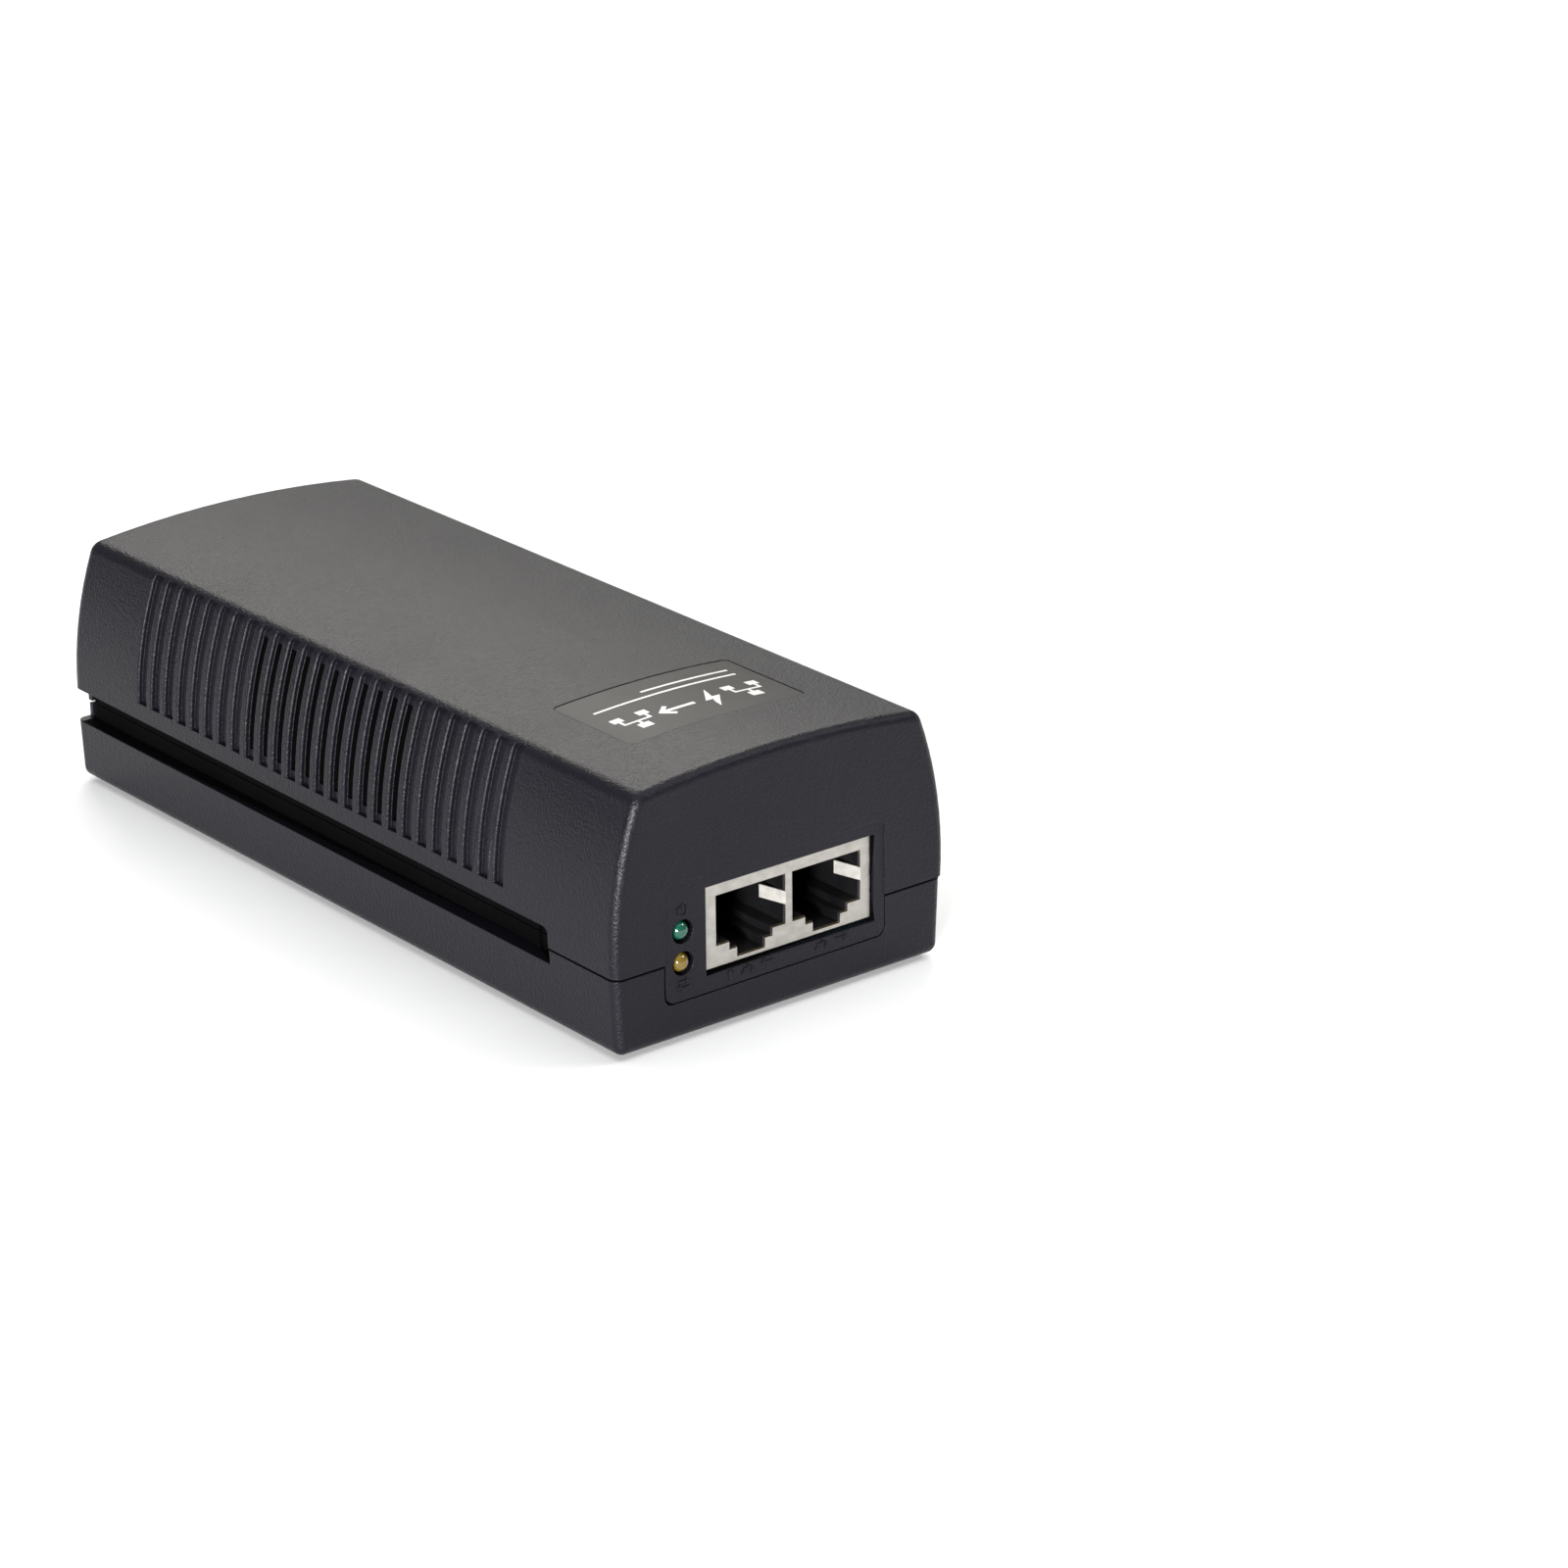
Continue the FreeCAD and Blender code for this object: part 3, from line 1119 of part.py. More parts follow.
def output_capacitors():
    cans = []
    for index in range(2):
        x = f"output_can_x + ({index} - 0.5) * output_can_gap"
        cans.append(rod(f"output_can_{index + 1}", "output_can_radius", "output_can_height",
                        (x, "output_can_y", "board_top")))
    return grouped("output_capacitors", cans)


def lan_transformers():
    modules = []
    for index in range(2):
        x = f"magnetics_x + ({index} - 0.5) * magnetics_gap"
        modules.append(solid_box(f"magnetics_{index + 1}",
                                 (f"{x} - magnetics_across / 2", f"{x} + magnetics_across / 2"),
                                 ("magnetics_y - magnetics_along / 2", "magnetics_y + magnetics_along / 2"),
                                 ("board_top", "board_top + magnetics_height")))
    return grouped("lan_transformers", modules)


SUBPARTS = [top_cover, bottom_tray, name_label, rating_label, rubber_feet, case_screws,
            jack_shield, jack_housing, port_contacts, power_led, data_led, led_holder, led_leads,
            circuit_board, board_screws, insulating_sheet, inlet_housing, inlet_pins,
            surge_varistor, inrush_thermistor, safety_capacitors, choke_core, choke_windings,
            primary_heatsink, switching_transistor, secondary_heatsink, output_rectifier, heatsink_screws,
            transformer_core, transformer_bobbin, transformer_winding, transformer_base,
            output_capacitors, lan_transformers]


def check(nodes):
    """Stop before anything is written if an object failed or a sub-part has no sound solid."""
    document.recompute()
    for feature in document.Objects:
        if "Invalid" in feature.State or "Error" in feature.State:
            raise RuntimeError(f"{feature.Name} failed: {feature.State}")
    for name, node in nodes.items():
        if node.Shape.isNull() or not node.Shape.isValid() or not node.Shape.Solids:
            raise RuntimeError(f"{name} has no sound solid")


def main():
    fill_sheet()
    nodes = {make.__name__: make() for make in SUBPARTS}
    nodes.update({name: board_block(name) for name in BOARD_BLOCKS})
    nodes.update({name: board_can(name) for name in BOARD_CANS})
    for name, node in nodes.items():
        node.Label = name
    check(nodes)
    os.makedirs("parts", exist_ok=True)
    for name, node in nodes.items():
        node.Shape.exportStep(f"parts/{name}.step")
        print(name, len(node.Shape.Solids), round(node.Shape.Volume, 1))


main()
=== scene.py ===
import json
import math

import bmesh
import bpy
from mathutils import Matrix, Vector
from mathutils.bvhtree import BVHTree


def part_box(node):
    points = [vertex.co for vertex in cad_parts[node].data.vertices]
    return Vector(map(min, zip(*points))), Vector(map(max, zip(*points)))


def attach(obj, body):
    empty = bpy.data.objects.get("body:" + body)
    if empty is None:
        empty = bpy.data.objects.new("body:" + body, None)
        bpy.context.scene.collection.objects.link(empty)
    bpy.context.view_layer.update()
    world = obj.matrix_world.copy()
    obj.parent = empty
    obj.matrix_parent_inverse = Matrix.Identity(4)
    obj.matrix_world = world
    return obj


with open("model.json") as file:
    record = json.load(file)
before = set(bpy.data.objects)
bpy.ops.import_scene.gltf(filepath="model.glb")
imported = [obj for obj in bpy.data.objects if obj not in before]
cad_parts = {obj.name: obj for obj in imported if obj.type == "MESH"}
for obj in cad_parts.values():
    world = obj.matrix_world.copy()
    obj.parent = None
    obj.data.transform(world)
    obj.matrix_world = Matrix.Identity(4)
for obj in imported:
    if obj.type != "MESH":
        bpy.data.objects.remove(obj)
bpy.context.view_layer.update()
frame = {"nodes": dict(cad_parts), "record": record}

MM = 0.001
NODES = frame["nodes"]
UP = Vector((0, 0, 1))
HOLLOW_DEPTH = 1.0 * MM
SHIELD_RIM = 0.5 * MM
SHIELD_SHEET = 0.3 * MM
FINGER_REACH = 6 * MM
INK = 0.03
RELIEF = 0.16


def corners_of(node):
    """Low and high corners of a node's box."""
    low, high = (Vector(corner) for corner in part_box(node))
    return low, high


# ---- camera, lights and floor ---------------------------------------------------------------

CAMERA_PLACE = Vector((-403.19, -573.15, 289.83)) * MM
CAMERA_AZIMUTH = math.radians(-38.854)
CAMERA_ELEVATION = math.radians(21.604)
CAMERA_ROLL = math.radians(-0.438)
CAMERA_LENS = 111.84
LIGHT_TARGET = Vector((0, 0, 30)) * MM
WORLD_STRENGTH = 0.25
FLOOR_HALF = 4.0


def facing(azimuth, elevation):
    """Unit vector towards a direction, with azimuth 0 along -Y and growing towards +X."""
    level = math.cos(elevation)
    return Vector((math.sin(azimuth) * level, -math.cos(azimuth) * level, math.sin(elevation)))


def add_camera():
    """Camera at the front left and above, on a long lens."""
    camera = bpy.data.objects.new("camera", bpy.data.cameras.new("camera"))
    bpy.context.scene.collection.objects.link(camera)
    back = facing(CAMERA_AZIMUTH, CAMERA_ELEVATION)
    right = Vector((math.cos(CAMERA_AZIMUTH), math.sin(CAMERA_AZIMUTH), 0))
    up = back.cross(right)
    turn = Matrix((right, up, back)).transposed() @ Matrix.Rotation(CAMERA_ROLL, 3, "Z")
    camera.matrix_world = Matrix.Translation(CAMERA_PLACE) @ turn.to_4x4()
    camera.data.lens = CAMERA_LENS
    camera.data.sensor_width = 36
    camera.data.clip_start = 0.01
    bpy.context.scene.camera = camera


def add_softbox(name, azimuth, elevation, distance, size, brightness, colour=(1, 1, 1)):
    """Rectangular soft light in a direction from the object, facing it, of a given radiance.

    The azimuth is in degrees from the port end's outward direction, growing towards +X."""
    turn = math.radians(azimuth)
    rise = math.radians(elevation)
    away = facing(turn, rise)
    light = bpy.data.lights.new(name, "AREA")
    light.shape = "RECTANGLE"
    light.size, light.size_y = size
    light.energy = brightness * size[0] * size[1] * math.pi
    light.color = colour
    lamp = bpy.data.objects.new(name, light)
    bpy.context.scene.collection.objects.link(lamp)
    lamp.matrix_world = (Matrix.Translation(away * distance + LIGHT_TARGET)
                         @ away.to_track_quat("Z", "Y").to_matrix().to_4x4())


def add_lights():
    """Broad light from above, a tall one behind the mains end, and a small one at each front side."""
    add_softbox("overhead", 0, 90, 2.2, (3.0, 3.0), 1.38)
    add_softbox("behind", 146, 36, 1.8, (1.1, 0.7), 6.6, (1.0, 0.97, 0.92))
    add_softbox("front_left", -50, 7, 1.5, (0.25, 0.25), 290.0)
    add_softbox("front_right", 56, 42, 1.5, (0.4, 0.25), 14.0)


def add_world():
    """Faint even light from all round."""
    world = bpy.data.worlds.new("studio")
    bpy.context.scene.world = world
    world.use_nodes = True
    background = world.node_tree.nodes["Background"]
    background.inputs["Color"].default_value = (0.96, 0.98, 1.0, 1)
    background.inputs["Strength"].default_value = WORLD_STRENGTH


def add_floor():
    """Plain pale paper."""
    mesh = bpy.data.meshes.new("floor")
    half = FLOOR_HALF
    corners = [(-half, -half, 0), (half, -half, 0), (half, half, 0), (-half, half, 0)]
    mesh.from_pydata(corners, [], [(0, 1, 2, 3)])
    floor = bpy.data.objects.new("floor", mesh)
    bpy.context.scene.collection.objects.link(floor)
    mesh.materials.append(surface("floor_paper", (0.93, 0.93, 0.93), (0.95, 0.95, 0.95), 0.9,
                                  grain=0.6, height=0.01, patch=60))


# ---- materials ------------------------------------------------------------------------------

def make(tree, kind, settings=None, **inputs):
    """Add a shader node. An input that is a socket is linked, and any other value is set."""
    node = tree.nodes.new("ShaderNode" + kind)
    for name, value in (settings or {}).items():
        setattr(node, name, value)
    for name, value in inputs.items():
        socket = node.inputs[int(name[1:])] if name[0] == "_" else node.inputs[name.replace("_", " ")]
        fill(tree, socket, value)
    return node


def fill(tree, socket, value):
    if isinstance(value, bpy.types.NodeSocket):
        tree.links.new(value, socket)
    else:
        socket.default_value = value


def noise(tree, place, size, detail=3.0, rough=0.55):
    """Value from 0 to 1 that changes over about the given size in mm."""
    return make(tree, "TexNoise", Vector=place, Scale=1 / (size * MM), Detail=detail,
                Roughness=rough).outputs["Fac"]


def ramp(tree, value, low, high, start=0.0, end=1.0):
    """Map low..high to start..end, held at both ends."""
    node = make(tree, "MapRange", Value=value, From_Min=low, From_Max=high, To_Min=start, To_Max=end)
    return node.outputs["Result"]


def maths(tree, operation, first, second):
    return make(tree, "Math", {"operation": operation}, _0=first, _1=second).outputs["Value"]


def blend(tree, factor, first, second):
    node = make(tree, "Mix", {"data_type": "RGBA"})
    fill(tree, node.inputs["Factor"], factor)
    for name, value in (("A", first), ("B", second)):
        socket = next(s for s in node.inputs if s.name == name and s.type == "RGBA")
        fill(tree, socket, (*value, 1) if isinstance(value, tuple) else value)
    return next(s for s in node.outputs if s.type == "RGBA")


def surface(name, dark, light, rough, spread=0.06, patch=12.0, grain=0.35, height=0.02,
            stretch=(1, 1, 1), metallic=0.0, edge=0.0, wear=0.0, worn=(0.2, 0.2, 0.2),
            pattern=None, mark=None, **constants):
    """A finish with uneven colour and gloss in patches, a fine grain, and rounded, rubbed edges.

    Sizes are in mm. stretch draws the grain out along an axis. A pattern function returns a mask
    that is coloured with mark and raises the surface."""
    material = bpy.data.materials.new(name)
    material.use_nodes = True
    tree = material.node_tree
    shader = tree.nodes["Principled BSDF"]
    place = make(tree, "TexCoord").outputs["Object"]
    drawn = make(tree, "Mapping", Vector=place, Scale=stretch).outputs["Vector"]
    cloud = ramp(tree, noise(tree, drawn, patch, 5.0), 0.3, 0.7)
    fine = noise(tree, drawn, grain, 2.0)
    colour = blend(tree, cloud, dark, light)
    gloss = maths(tree, "ADD", ramp(tree, cloud, 0, 1, rough - spread, rough + spread),
                  ramp(tree, fine, 0.3, 0.7, -spread / 2, spread / 2))
    raised = fine
    if pattern:
        mask = pattern(tree, place)
        colour = blend(tree, mask, colour, mark)
        raised = maths(tree, "ADD", fine, maths(tree, "MULTIPLY", mask, 1.5))
    bump = make(tree, "Bump", Strength=1.0, Distance=height * MM, Height=raised)
    if edge:
        soft = make(tree, "Bevel", {"samples": 4}, Radius=edge * MM)
        tree.links.new(soft.outputs["Normal"], bump.inputs["Normal"])
        if wear:
            flat = make(tree, "NewGeometry").outputs["Normal"]
            agree = make(tree, "VectorMath", {"operation": "DOT_PRODUCT"},
                         _0=soft.outputs["Normal"], _1=flat)
            rubbed = maths(tree, "MULTIPLY", ramp(tree, agree.outputs["Value"], 0.98, 0.8),
                           ramp(tree, noise(tree, place, 1.6, 4.0), 0.4, 0.65, 0, wear))
            colour = blend(tree, rubbed, colour, worn)
    tree.links.new(bump.outputs["Normal"], shader.inputs["Normal"])
    tree.links.new(colour, shader.inputs["Base Color"])
    tree.links.new(gloss, shader.inputs["Roughness"])
    shader.inputs["Metallic"].default_value = metallic
    for socket, value in constants.items():
        shader.inputs[socket.replace("_", " ")].default_value = value
    return material


def bands(direction, pitch, low=0.45, high=0.6):
    """Pattern of parallel lines, such as wound wire, at a pitch in mm."""
    def pattern(tree, place):
        wave = make(tree, "TexWave", {"bands_direction": direction}, Vector=place,
                    Scale=1 / (pitch * MM) * math.pi / 10, Distortion=0.3, Detail=1.0)
        return ramp(tree, wave.outputs["Fac"], low, high)
    return pattern


def traces(tree, place):
    """Pattern of copper tracks under the green mask of a circuit board."""
    cells = make(tree, "TexVoronoi", {"distance": "CHEBYCHEV", "feature": "F1"}, Vector=place,
                 Scale=1 / (3.5 * MM), Randomness=0.55)
    rings = maths(tree, "PINGPONG", cells.outputs["Distance"], 0.16)
    return ramp(tree, rings, 0.07, 0.09)


def specks(size, low=0.6, high=0.66):
    """Pattern of scattered flecks of a size in mm."""
    def pattern(tree, place):
        return ramp(tree, noise(tree, place, size, 1.0), low, high)
    return pattern


def clear_resin(name, colour, rough):
    """Tinted epoxy of an unlit light, slightly milky."""
    return surface(name, tuple(0.85 * part for part in colour), colour, rough, spread=0.03, patch=1.5,
                   grain=0.5, height=0.002, Transmission_Weight=0.35, IOR=1.5, Coat_Weight=0.6,
                   Coat_Roughness=0.05)


def make_finishes():
    """One material for each slot of the record."""
    return {
        "case_plastic": surface(
            "case_plastic", (0.0036, 0.0034, 0.0056), (0.0052, 0.0049, 0.0078), 0.37, spread=0.03,
            patch=25, grain=0.42, height=0.12, edge=0.22, wear=0.15, worn=(0.04, 0.04, 0.045),
            IOR=1.27),
        # painted shade: near-black finish for the case's inner faces, standing in for the shade inside its
        # vents and channels
        "case_painted_shade": surface(
            "case_painted_shade", (0.0008, 0.0008, 0.0009), (0.0014, 0.0014, 0.0016), 0.8, patch=20,
            grain=0.5, height=0.03, IOR=1.1),
        "label_film": surface(
            "label_film", (0.018, 0.017, 0.015), (0.022, 0.021, 0.019), 0.44, spread=0.04, patch=20,
            grain=0.12, height=0.003, edge=0.1, IOR=1.26),
        "label_ink": surface(
            "label_ink", (0.60, 0.60, 0.58), (0.72, 0.72, 0.70), 0.45, patch=1.5, grain=0.15,
            height=0.004),
        "foot_rubber": surface(
            "foot_rubber", (0.012, 0.012, 0.012), (0.022, 0.022, 0.022), 0.78, patch=4, grain=0.25,
            height=0.03, edge=0.3),
        "screw_steel": surface(
            "screw_steel", (0.42, 0.42, 0.44), (0.58, 0.58, 0.59), 0.34, spread=0.1, patch=1.2,
            grain=0.2, height=0.006, metallic=1.0, edge=0.12),
        "shield_plate": surface(
            "shield_plate", (0.36, 0.345, 0.32), (0.50, 0.48, 0.45), 0.38, spread=0.09, patch=1.2,
            grain=0.12, height=0.006, stretch=(0.6, 1, 1), metallic=1.0, edge=0.06),
        "shield_finger": surface(
            "shield_finger", (0.34, 0.33, 0.31), (0.46, 0.44, 0.41), 0.38, patch=1.0, grain=0.12,
            height=0.005, metallic=0.3, edge=0.06),
        "bare_edge": surface(
            "bare_edge", (0.62, 0.42, 0.11), (0.80, 0.58, 0.20), 0.34, patch=0.8, grain=0.1,
            height=0.004, metallic=1.0),
        "black_plastic": surface(
            "black_plastic", (0.002, 0.002, 0.0025), (0.004, 0.004, 0.0045), 0.42, patch=5, grain=0.3,
            height=0.012, edge=0.12, wear=0.15, worn=(0.03, 0.03, 0.03)),
        "contact_gold": surface(
            "contact_gold", (0.72, 0.50, 0.16), (0.86, 0.65, 0.27), 0.28, patch=1.0, grain=0.12,
            height=0.003, metallic=1.0),
        "green_lens": clear_resin("green_lens", (0.003, 0.075, 0.045), 0.10),
        "amber_lens": clear_resin("amber_lens", (0.15, 0.10, 0.010), 0.10),
        "tinned_wire": surface(
            "tinned_wire", (0.56, 0.56, 0.55), (0.72, 0.72, 0.70), 0.38, patch=1.5, grain=0.2,
            height=0.01, metallic=1.0),
        "board_laminate": surface(
            "board_laminate", (0.010, 0.075, 0.030), (0.014, 0.092, 0.038), 0.32, patch=8, grain=0.4,
            height=0.012, pattern=traces, mark=(0.028, 0.16, 0.065), Coat_Weight=0.4,
            Coat_Roughness=0.15),
        "sheet_film": surface(
            "sheet_film", (0.52, 0.50, 0.44), (0.62, 0.60, 0.53), 0.42, patch=15, grain=0.6,
            height=0.01),
        "disc_coating": surface(
            "disc_coating", (0.015, 0.06, 0.22), (0.025, 0.09, 0.29), 0.30, patch=3, grain=0.7,
            height=0.05, pattern=specks(1.4), mark=(0.03, 0.11, 0.33), Coat_Weight=0.3),
        "film_box": surface(
            "film_box", (0.50, 0.34, 0.03), (0.60, 0.43, 0.06), 0.35, patch=6, grain=0.3, height=0.015,
            edge=0.2, wear=0.3, worn=(0.7, 0.55, 0.2)),
        "ferrite": surface(
            "ferrite", (0.022, 0.022, 0.025), (0.040, 0.040, 0.044), 0.62, patch=2, grain=0.15,
            height=0.02, edge=0.2, wear=0.5, worn=(0.12, 0.12, 0.13), pattern=specks(0.35, 0.64, 0.7),
            mark=(0.07, 0.07, 0.075)),
        "copper_wire": surface(
            "copper_wire", (0.42, 0.15, 0.05), (0.55, 0.22, 0.08), 0.30, patch=3, grain=0.2,
            height=0.09, metallic=0.8, pattern=bands("Z", 0.7), mark=(0.62, 0.28, 0.11)),
        "can_sleeve": surface(
            "can_sleeve", (0.010, 0.014, 0.045), (0.014, 0.020, 0.060), 0.25, patch=7, grain=0.5,
            height=0.01, pattern=bands("X", 9.0, 0.92, 0.94), mark=(0.30, 0.31, 0.33)),
        "sink_aluminium": surface(
            "sink_aluminium", (0.58, 0.58, 0.59), (0.74, 0.74, 0.75), 0.38, spread=0.08, patch=3,
            grain=0.18, height=0.012, stretch=(1, 0.08, 1), metallic=1.0, edge=0.15),
        "winding_tape": surface(
            "winding_tape", (0.62, 0.46, 0.05), (0.72, 0.56, 0.09), 0.24, patch=4, grain=0.4,
            height=0.03, pattern=bands("Z", 5.0, 0.85, 0.9), mark=(0.50, 0.36, 0.03), Coat_Weight=0.4),
    }


def dress_nodes(finishes):
    """Give each CAD node its slot's material, and shade its curved faces smooth."""
    for part in frame["record"]["subparts"]:
        mesh = NODES[part["node"]].data
        mesh.materials.clear()
        mesh.materials.append(finishes[part["material_slot"]])
        mesh.shade_smooth()
        mesh.set_sharp_from_angle(angle=math.radians(28))


def dress_shield(finishes):
    """Show bare brass on the cut lower edges of the ports, and paler plating on the fingers inside."""
    mesh = NODES["jack_shield"].data
    low, high = corners_of("jack_shield")
    mesh.materials.append(finishes["bare_edge"])
    mesh.materials.append(finishes["shield_finger"])
    for face in mesh.polygons:
        centre = face.center
        depth = centre.y - low.y
        inside = min(centre.x - low.x, high.x - centre.x, centre.z - low.z, high.z - centre.z) > SHIELD_RIM
        if inside and depth < SHIELD_SHEET and face.normal.z > 0.5:
            face.material_index = 1
        elif inside and SHIELD_SHEET < depth < FINGER_REACH:
            face.material_index = 2


def paint_shade_in_hollows(finishes):
    """Paint shade on the unlit inner faces of the case, its vents and its channels, as a near-black finish
    that stands in for the shade there.
    """
    for name in ("top_cover", "bottom_tray"):
        mesh = NODES[name].data
        form = bmesh.new()
        for vertex in mesh.vertices:
            form.verts.new(vertex.co)
        bmesh.ops.convex_hull(form, input=form.verts)
        skin = BVHTree.FromBMesh(form)
        form.free()
        mesh.materials.append(finishes["case_painted_shade"])
        for face in mesh.polygons:
            # painted shade: every face more than HOLLOW_DEPTH inside the hull gets the near-black finish
            if skin.find_nearest(face.center)[3] > HOLLOW_DEPTH:
                face.material_index = 1


# ---- printed and moulded marks --------------------------------------------------------------

def ribbon(points, width, closed=False):
    """Left and right edges of a flat stroke along points, mitred at its corners."""
    points = [Vector(point) for point in points]
    count = len(points)
    left, right = [], []
    for index, point in enumerate(points):
        before = points[index - 1] if index or closed else None
        after = points[(index + 1) % count] if index < count - 1 or closed else None
        steps = []
        if before:
            steps.append((point - before).normalized())
        if after:
            steps.append((after - point).normalized())
        along = sum(steps, Vector((0, 0))).normalized()
        side = Vector((-along.y, along.x)) * (width / 2 / max(along.dot(steps[0]), 0.5))
        left.append(point + side)
        right.append(point - side)
    return left, right, closed


def ring(centre, radius, width, start=0.0, end=360.0):
    """Stroke along an arc, or a whole circle, with angles in degrees."""
    closed = end - start >= 360
    steps = max(6, round((end - start) / 15))
    angles = [math.radians(start + (end - start) * index / steps) for index in range(steps + (not closed))]
    points = [(centre[0] + radius * math.cos(angle), centre[1] + radius * math.sin(angle))
              for angle in angles]
    return ribbon(points, width, closed)


def bar(start, end, width):
    """Straight stroke in short lengths, so that it can follow a curved face."""
    start, end = Vector(start), Vector(end)
    steps = max(1, round((end - start).length / 0.8))
    return ribbon([start.lerp(end, index / steps) for index in range(steps + 1)], width)


def plate(centre, width, height):
    """Filled rectangle."""
    x, y = centre
    return bar((x - width / 2, y), (x + width / 2, y), height)


def shifted(strokes, offset, scale=1.0):
    """The same strokes at another place and scale."""
    offset = Vector(offset)

    def move(points):
        return [point * scale + offset for point in points]
    return [(move(left), move(right), closed) for left, right, closed in strokes]


def bolt_symbol():
    """Lightning bolt, one unit high and about half as wide."""
    left = [(0.14, 0.5), (-0.04, 0.22), (-0.24, -0.06), (-0.02, -0.06), (-0.14, -0.5)]
    right = [(0.16, 0.5), (0.12, 0.24), (0.06, 0.08), (0.26, 0.08), (-0.12, -0.5)]
    return [([Vector(point) for point in left], [Vector(point) for point in right], False)]


def power_symbol():
    """Broken circle with a bar at its top, about one unit wide."""
    return [ring((0, 0), 0.4, 0.11, 125, 415), bar((0, 0.08), (0, 0.5), 0.11)]


def arrow_symbol(direction):
    """Arrow along x, one unit long, that points to the given side."""
    tip = 0.5 * direction
    wing = tip - 0.28 * direction
    return [bar((-tip, 0), (tip * 0.9, 0), 0.12), ribbon([(wing, 0.26), (tip, 0), (wing, -0.26)], 0.12)]


def network_symbol():
    """Three boxes joined by a branching line, about one unit wide."""
    strokes = [plate((0, 0.34), 0.34, 0.26), bar((0, 0.21), (0, 0.02), 0.07),
               bar((-0.38, 0.02), (0.38, 0.02), 0.07)]
    for x in (-0.38, 0.38):
        strokes.append(bar((x, 0.05), (x, -0.2), 0.07))
        strokes.append(plate((x, -0.32), 0.3, 0.24))
    return strokes


def solid_strokes(name, strokes, put, thickness):
    """One mesh of closed solids, one for each stroke. put(point) gives its place and outward side."""
    form = bmesh.new()
    for left, right, closed in strokes:
        rows = []
        for pair in zip(left, right):
            spots = [put(point * MM) for point in pair]
            low = [form.verts.new(spot) for spot, out in spots]
            high = [form.verts.new(spot + out * thickness * MM) for spot, out in spots]
            rows.append((low[0], low[1], high[1], high[0]))
        ends = len(rows) if closed else len(rows) - 1
        for index in range(ends):
            near, far = rows[index], rows[(index + 1) % len(rows)]
            for side in range(4):
                other = (side + 1) % 4
                form.faces.new((near[side], near[other], far[other], far[side]))
        if not closed:
            form.faces.new(rows[0])
            form.faces.new(rows[-1])
    bmesh.ops.recalc_face_normals(form, faces=form.faces)
    mesh = bpy.data.meshes.new(name)
    form.to_mesh(mesh)
    form.free()
    piece = bpy.data.objects.new(name, mesh)
    bpy.context.scene.collection.objects.link(piece)
    return piece


def ground(node, direction):
    """Function that drops a point onto a node's mesh along a direction."""
    mesh = NODES[node].data
    tree = BVHTree.FromPolygons([vertex.co for vertex in mesh.vertices],
                                [face.vertices for face in mesh.polygons])
    direction = Vector(direction)

    def drop(point):
        hit = tree.ray_cast(point - direction * 0.5, direction)
        return hit[0]
    return drop


def add_piece(name, strokes, put, thickness, material):
    """Build strokes on the case as one piece of the body, in a slot of the record."""
    piece = solid_strokes(name, strokes, put, thickness)
    piece.data.materials.append(material)
    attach(piece, "root")


def middle(node):
    low, high = corners_of(node)
    return (low + high) / 2


def print_name_label(finishes):
    """Generic marks in light ink: a network tree, a bolt and an arrow over two thin rules."""
    centre = middle("name_label")
    drop = ground("name_label", -UP)

    def put(point):
        return drop(Vector((centre.x - point.x, centre.y - point.y, 0))), UP

    strokes = shifted(network_symbol(), (-10.2, 3.0), 6.0)
    strokes += shifted(bolt_symbol(), (-3.8, 3.0), 6.4)
    strokes += shifted(arrow_symbol(1), (2.6, 3.0), 6.0)
    strokes += shifted(network_symbol(), (10.0, 3.0), 6.0)
    strokes += [bar((-13.0, -3.4), (13.0, -3.4), 0.45), bar((-13.0, -5.4), (3.0, -5.4), 0.45)]
    add_piece("label_print", strokes, put, INK, finishes["label_ink"])


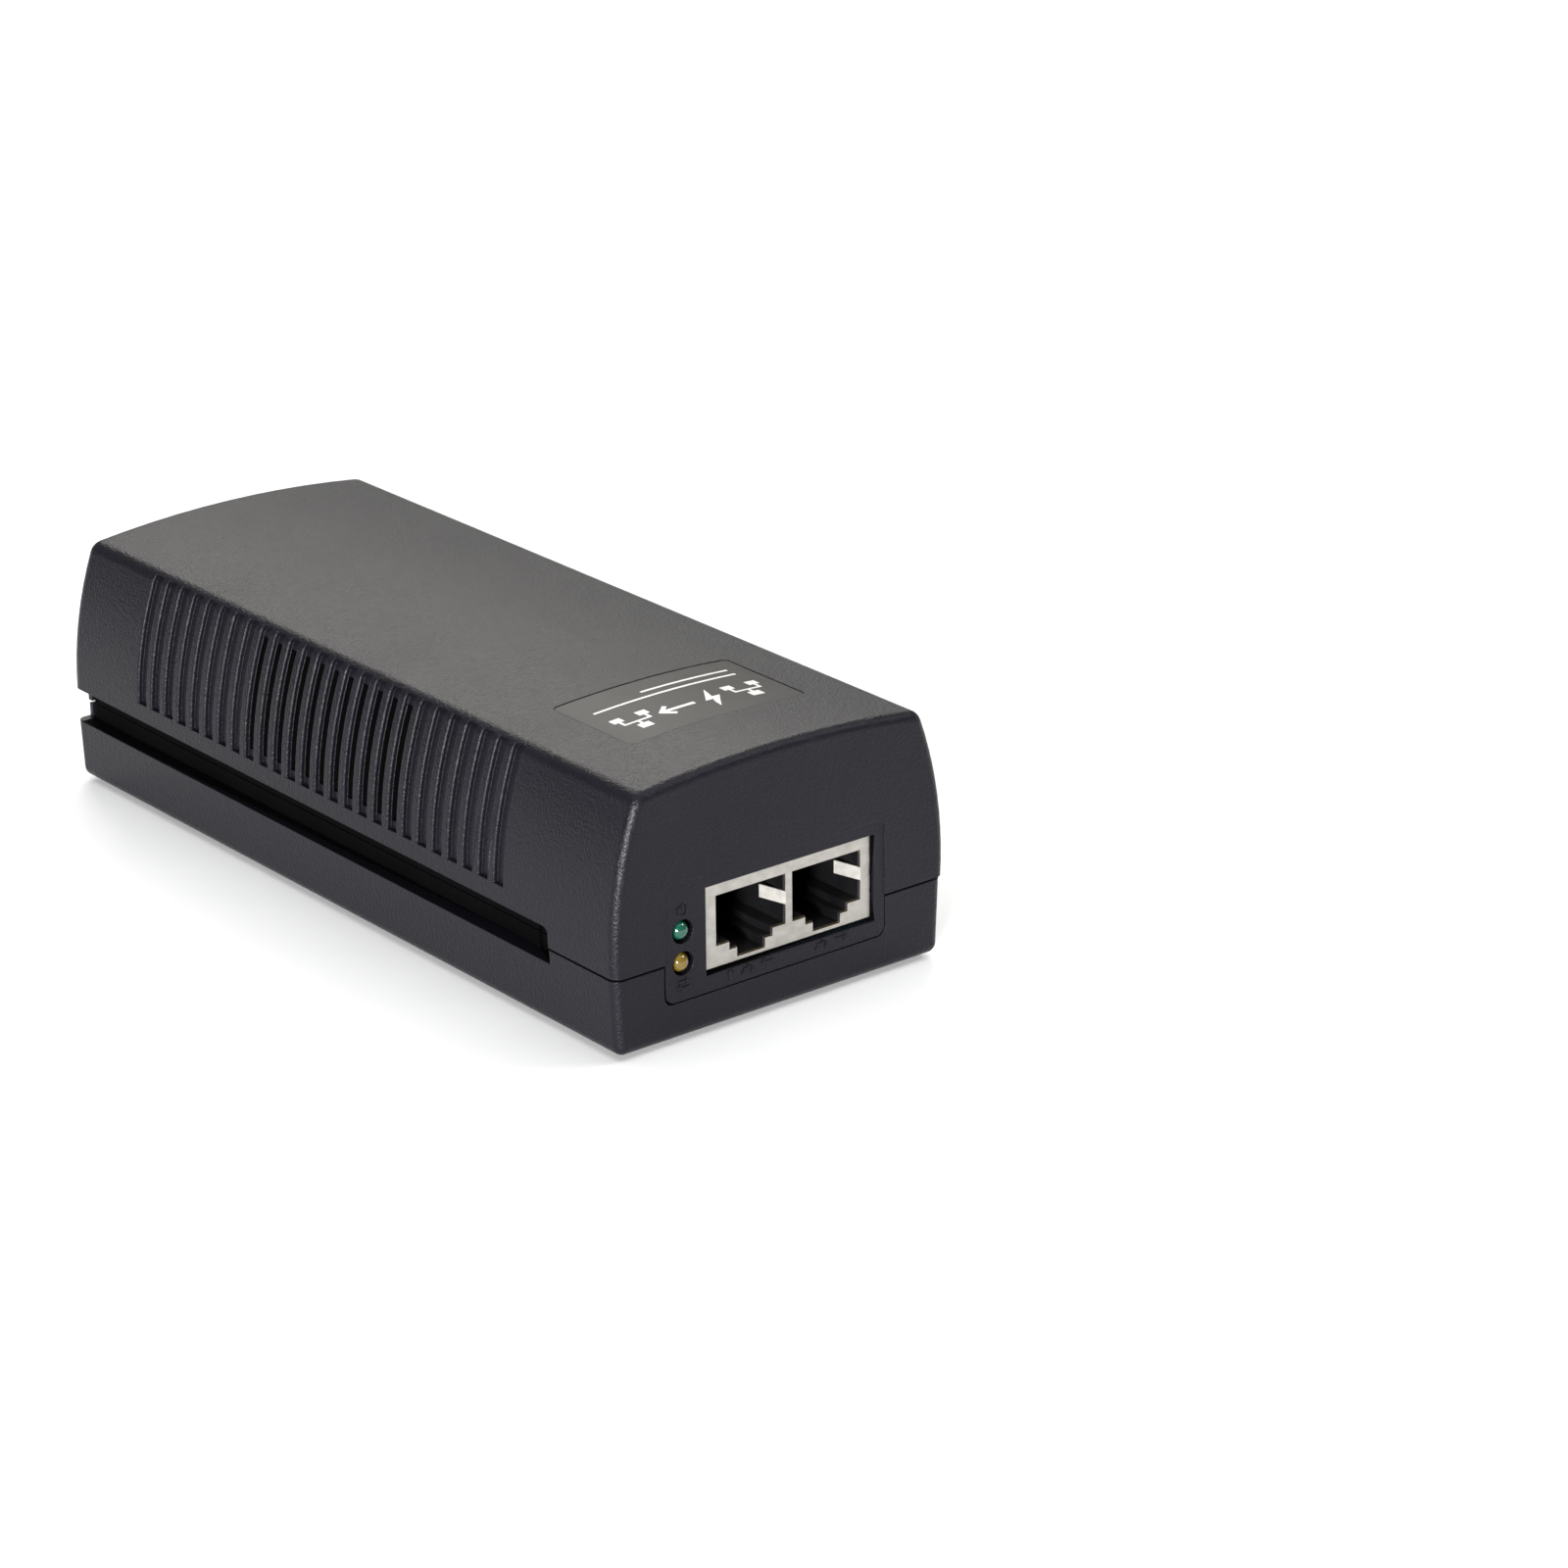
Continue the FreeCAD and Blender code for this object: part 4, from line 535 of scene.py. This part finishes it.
def print_rating_label(finishes):
    """Blank rules and boxes in light ink, in place of the usual ratings."""
    low, high = corners_of("rating_label")
    centre = middle("rating_label")
    drop = ground("rating_label", UP)

    def put(point):
        return drop(Vector((centre.x + point.x, centre.y - point.y, 0))), -UP

    half_x, half_y = (high.x - low.x) / 2 / MM - 1.5, (high.y - low.y) / 2 / MM - 1.5
    corners = [(-half_x, -half_y), (half_x, -half_y), (half_x, half_y), (-half_x, half_y)]
    strokes = [ribbon(corners, 0.25, closed=True)]
    for index in range(5):
        y = half_y - 4 - 2.4 * index
        strokes.append(bar((-half_x + 2, y), (half_x * (0.2 + 0.12 * (index % 3)), y), 0.7))
    strokes += shifted(bolt_symbol(), (-half_x + 4, -half_y + 5.5), 5)
    strokes += shifted(network_symbol(), (-half_x + 11, -half_y + 5.5), 5)
    strokes += shifted(power_symbol(), (-half_x + 18, -half_y + 5.5), 5)
    add_piece("rating_print", strokes, put, INK, finishes["label_ink"])


def mould_panel_marks(finishes):
    """Small raised symbols in the plastic beside the lights and under the ports."""
    drops = [ground(node, (0, 1, 0)) for node in ("top_cover", "bottom_tray")]
    out = Vector((0, -1, 0))

    def put(point):
        hits = [drop(Vector((point.x, 0, point.y))) for drop in drops]
        return min((hit for hit in hits if hit), key=lambda hit: hit.y), out

    upper, lower = middle("power_led") / MM, middle("data_led") / MM
    shield_low, shield_high = (corner / MM for corner in corners_of("jack_shield"))
    quarter = (shield_high.x - shield_low.x) / 4
    below = shield_low.z - 1.3
    strokes = shifted(power_symbol(), (upper.x, upper.z + 3.3), 2.0)
    strokes += shifted(arrow_symbol(1), (lower.x, lower.z - 2.7), 2.0)
    strokes += shifted(arrow_symbol(-1), (lower.x, lower.z - 3.7), 2.0)
    for symbol, x in ((bolt_symbol(), -3.6), (network_symbol(), -0.4), (arrow_symbol(-1), 3.2)):
        strokes += shifted(symbol, (shield_low.x + quarter + x, below), 2.1)
    for symbol, x in ((network_symbol(), -2.0), (arrow_symbol(1), 1.6)):
        strokes += shifted(symbol, (shield_high.x - quarter + x, below), 2.1)
    add_piece("panel_marks", strokes, put, RELIEF, finishes["case_plastic"])


def main():
    bpy.context.scene.view_settings.view_transform = "Standard"
    add_camera()
    add_lights()
    add_world()
    add_floor()
    finishes = make_finishes()
    dress_nodes(finishes)
    dress_shield(finishes)
    paint_shade_in_hollows(finishes)
    print_name_label(finishes)
    print_rating_label(finishes)
    mould_panel_marks(finishes)


main()
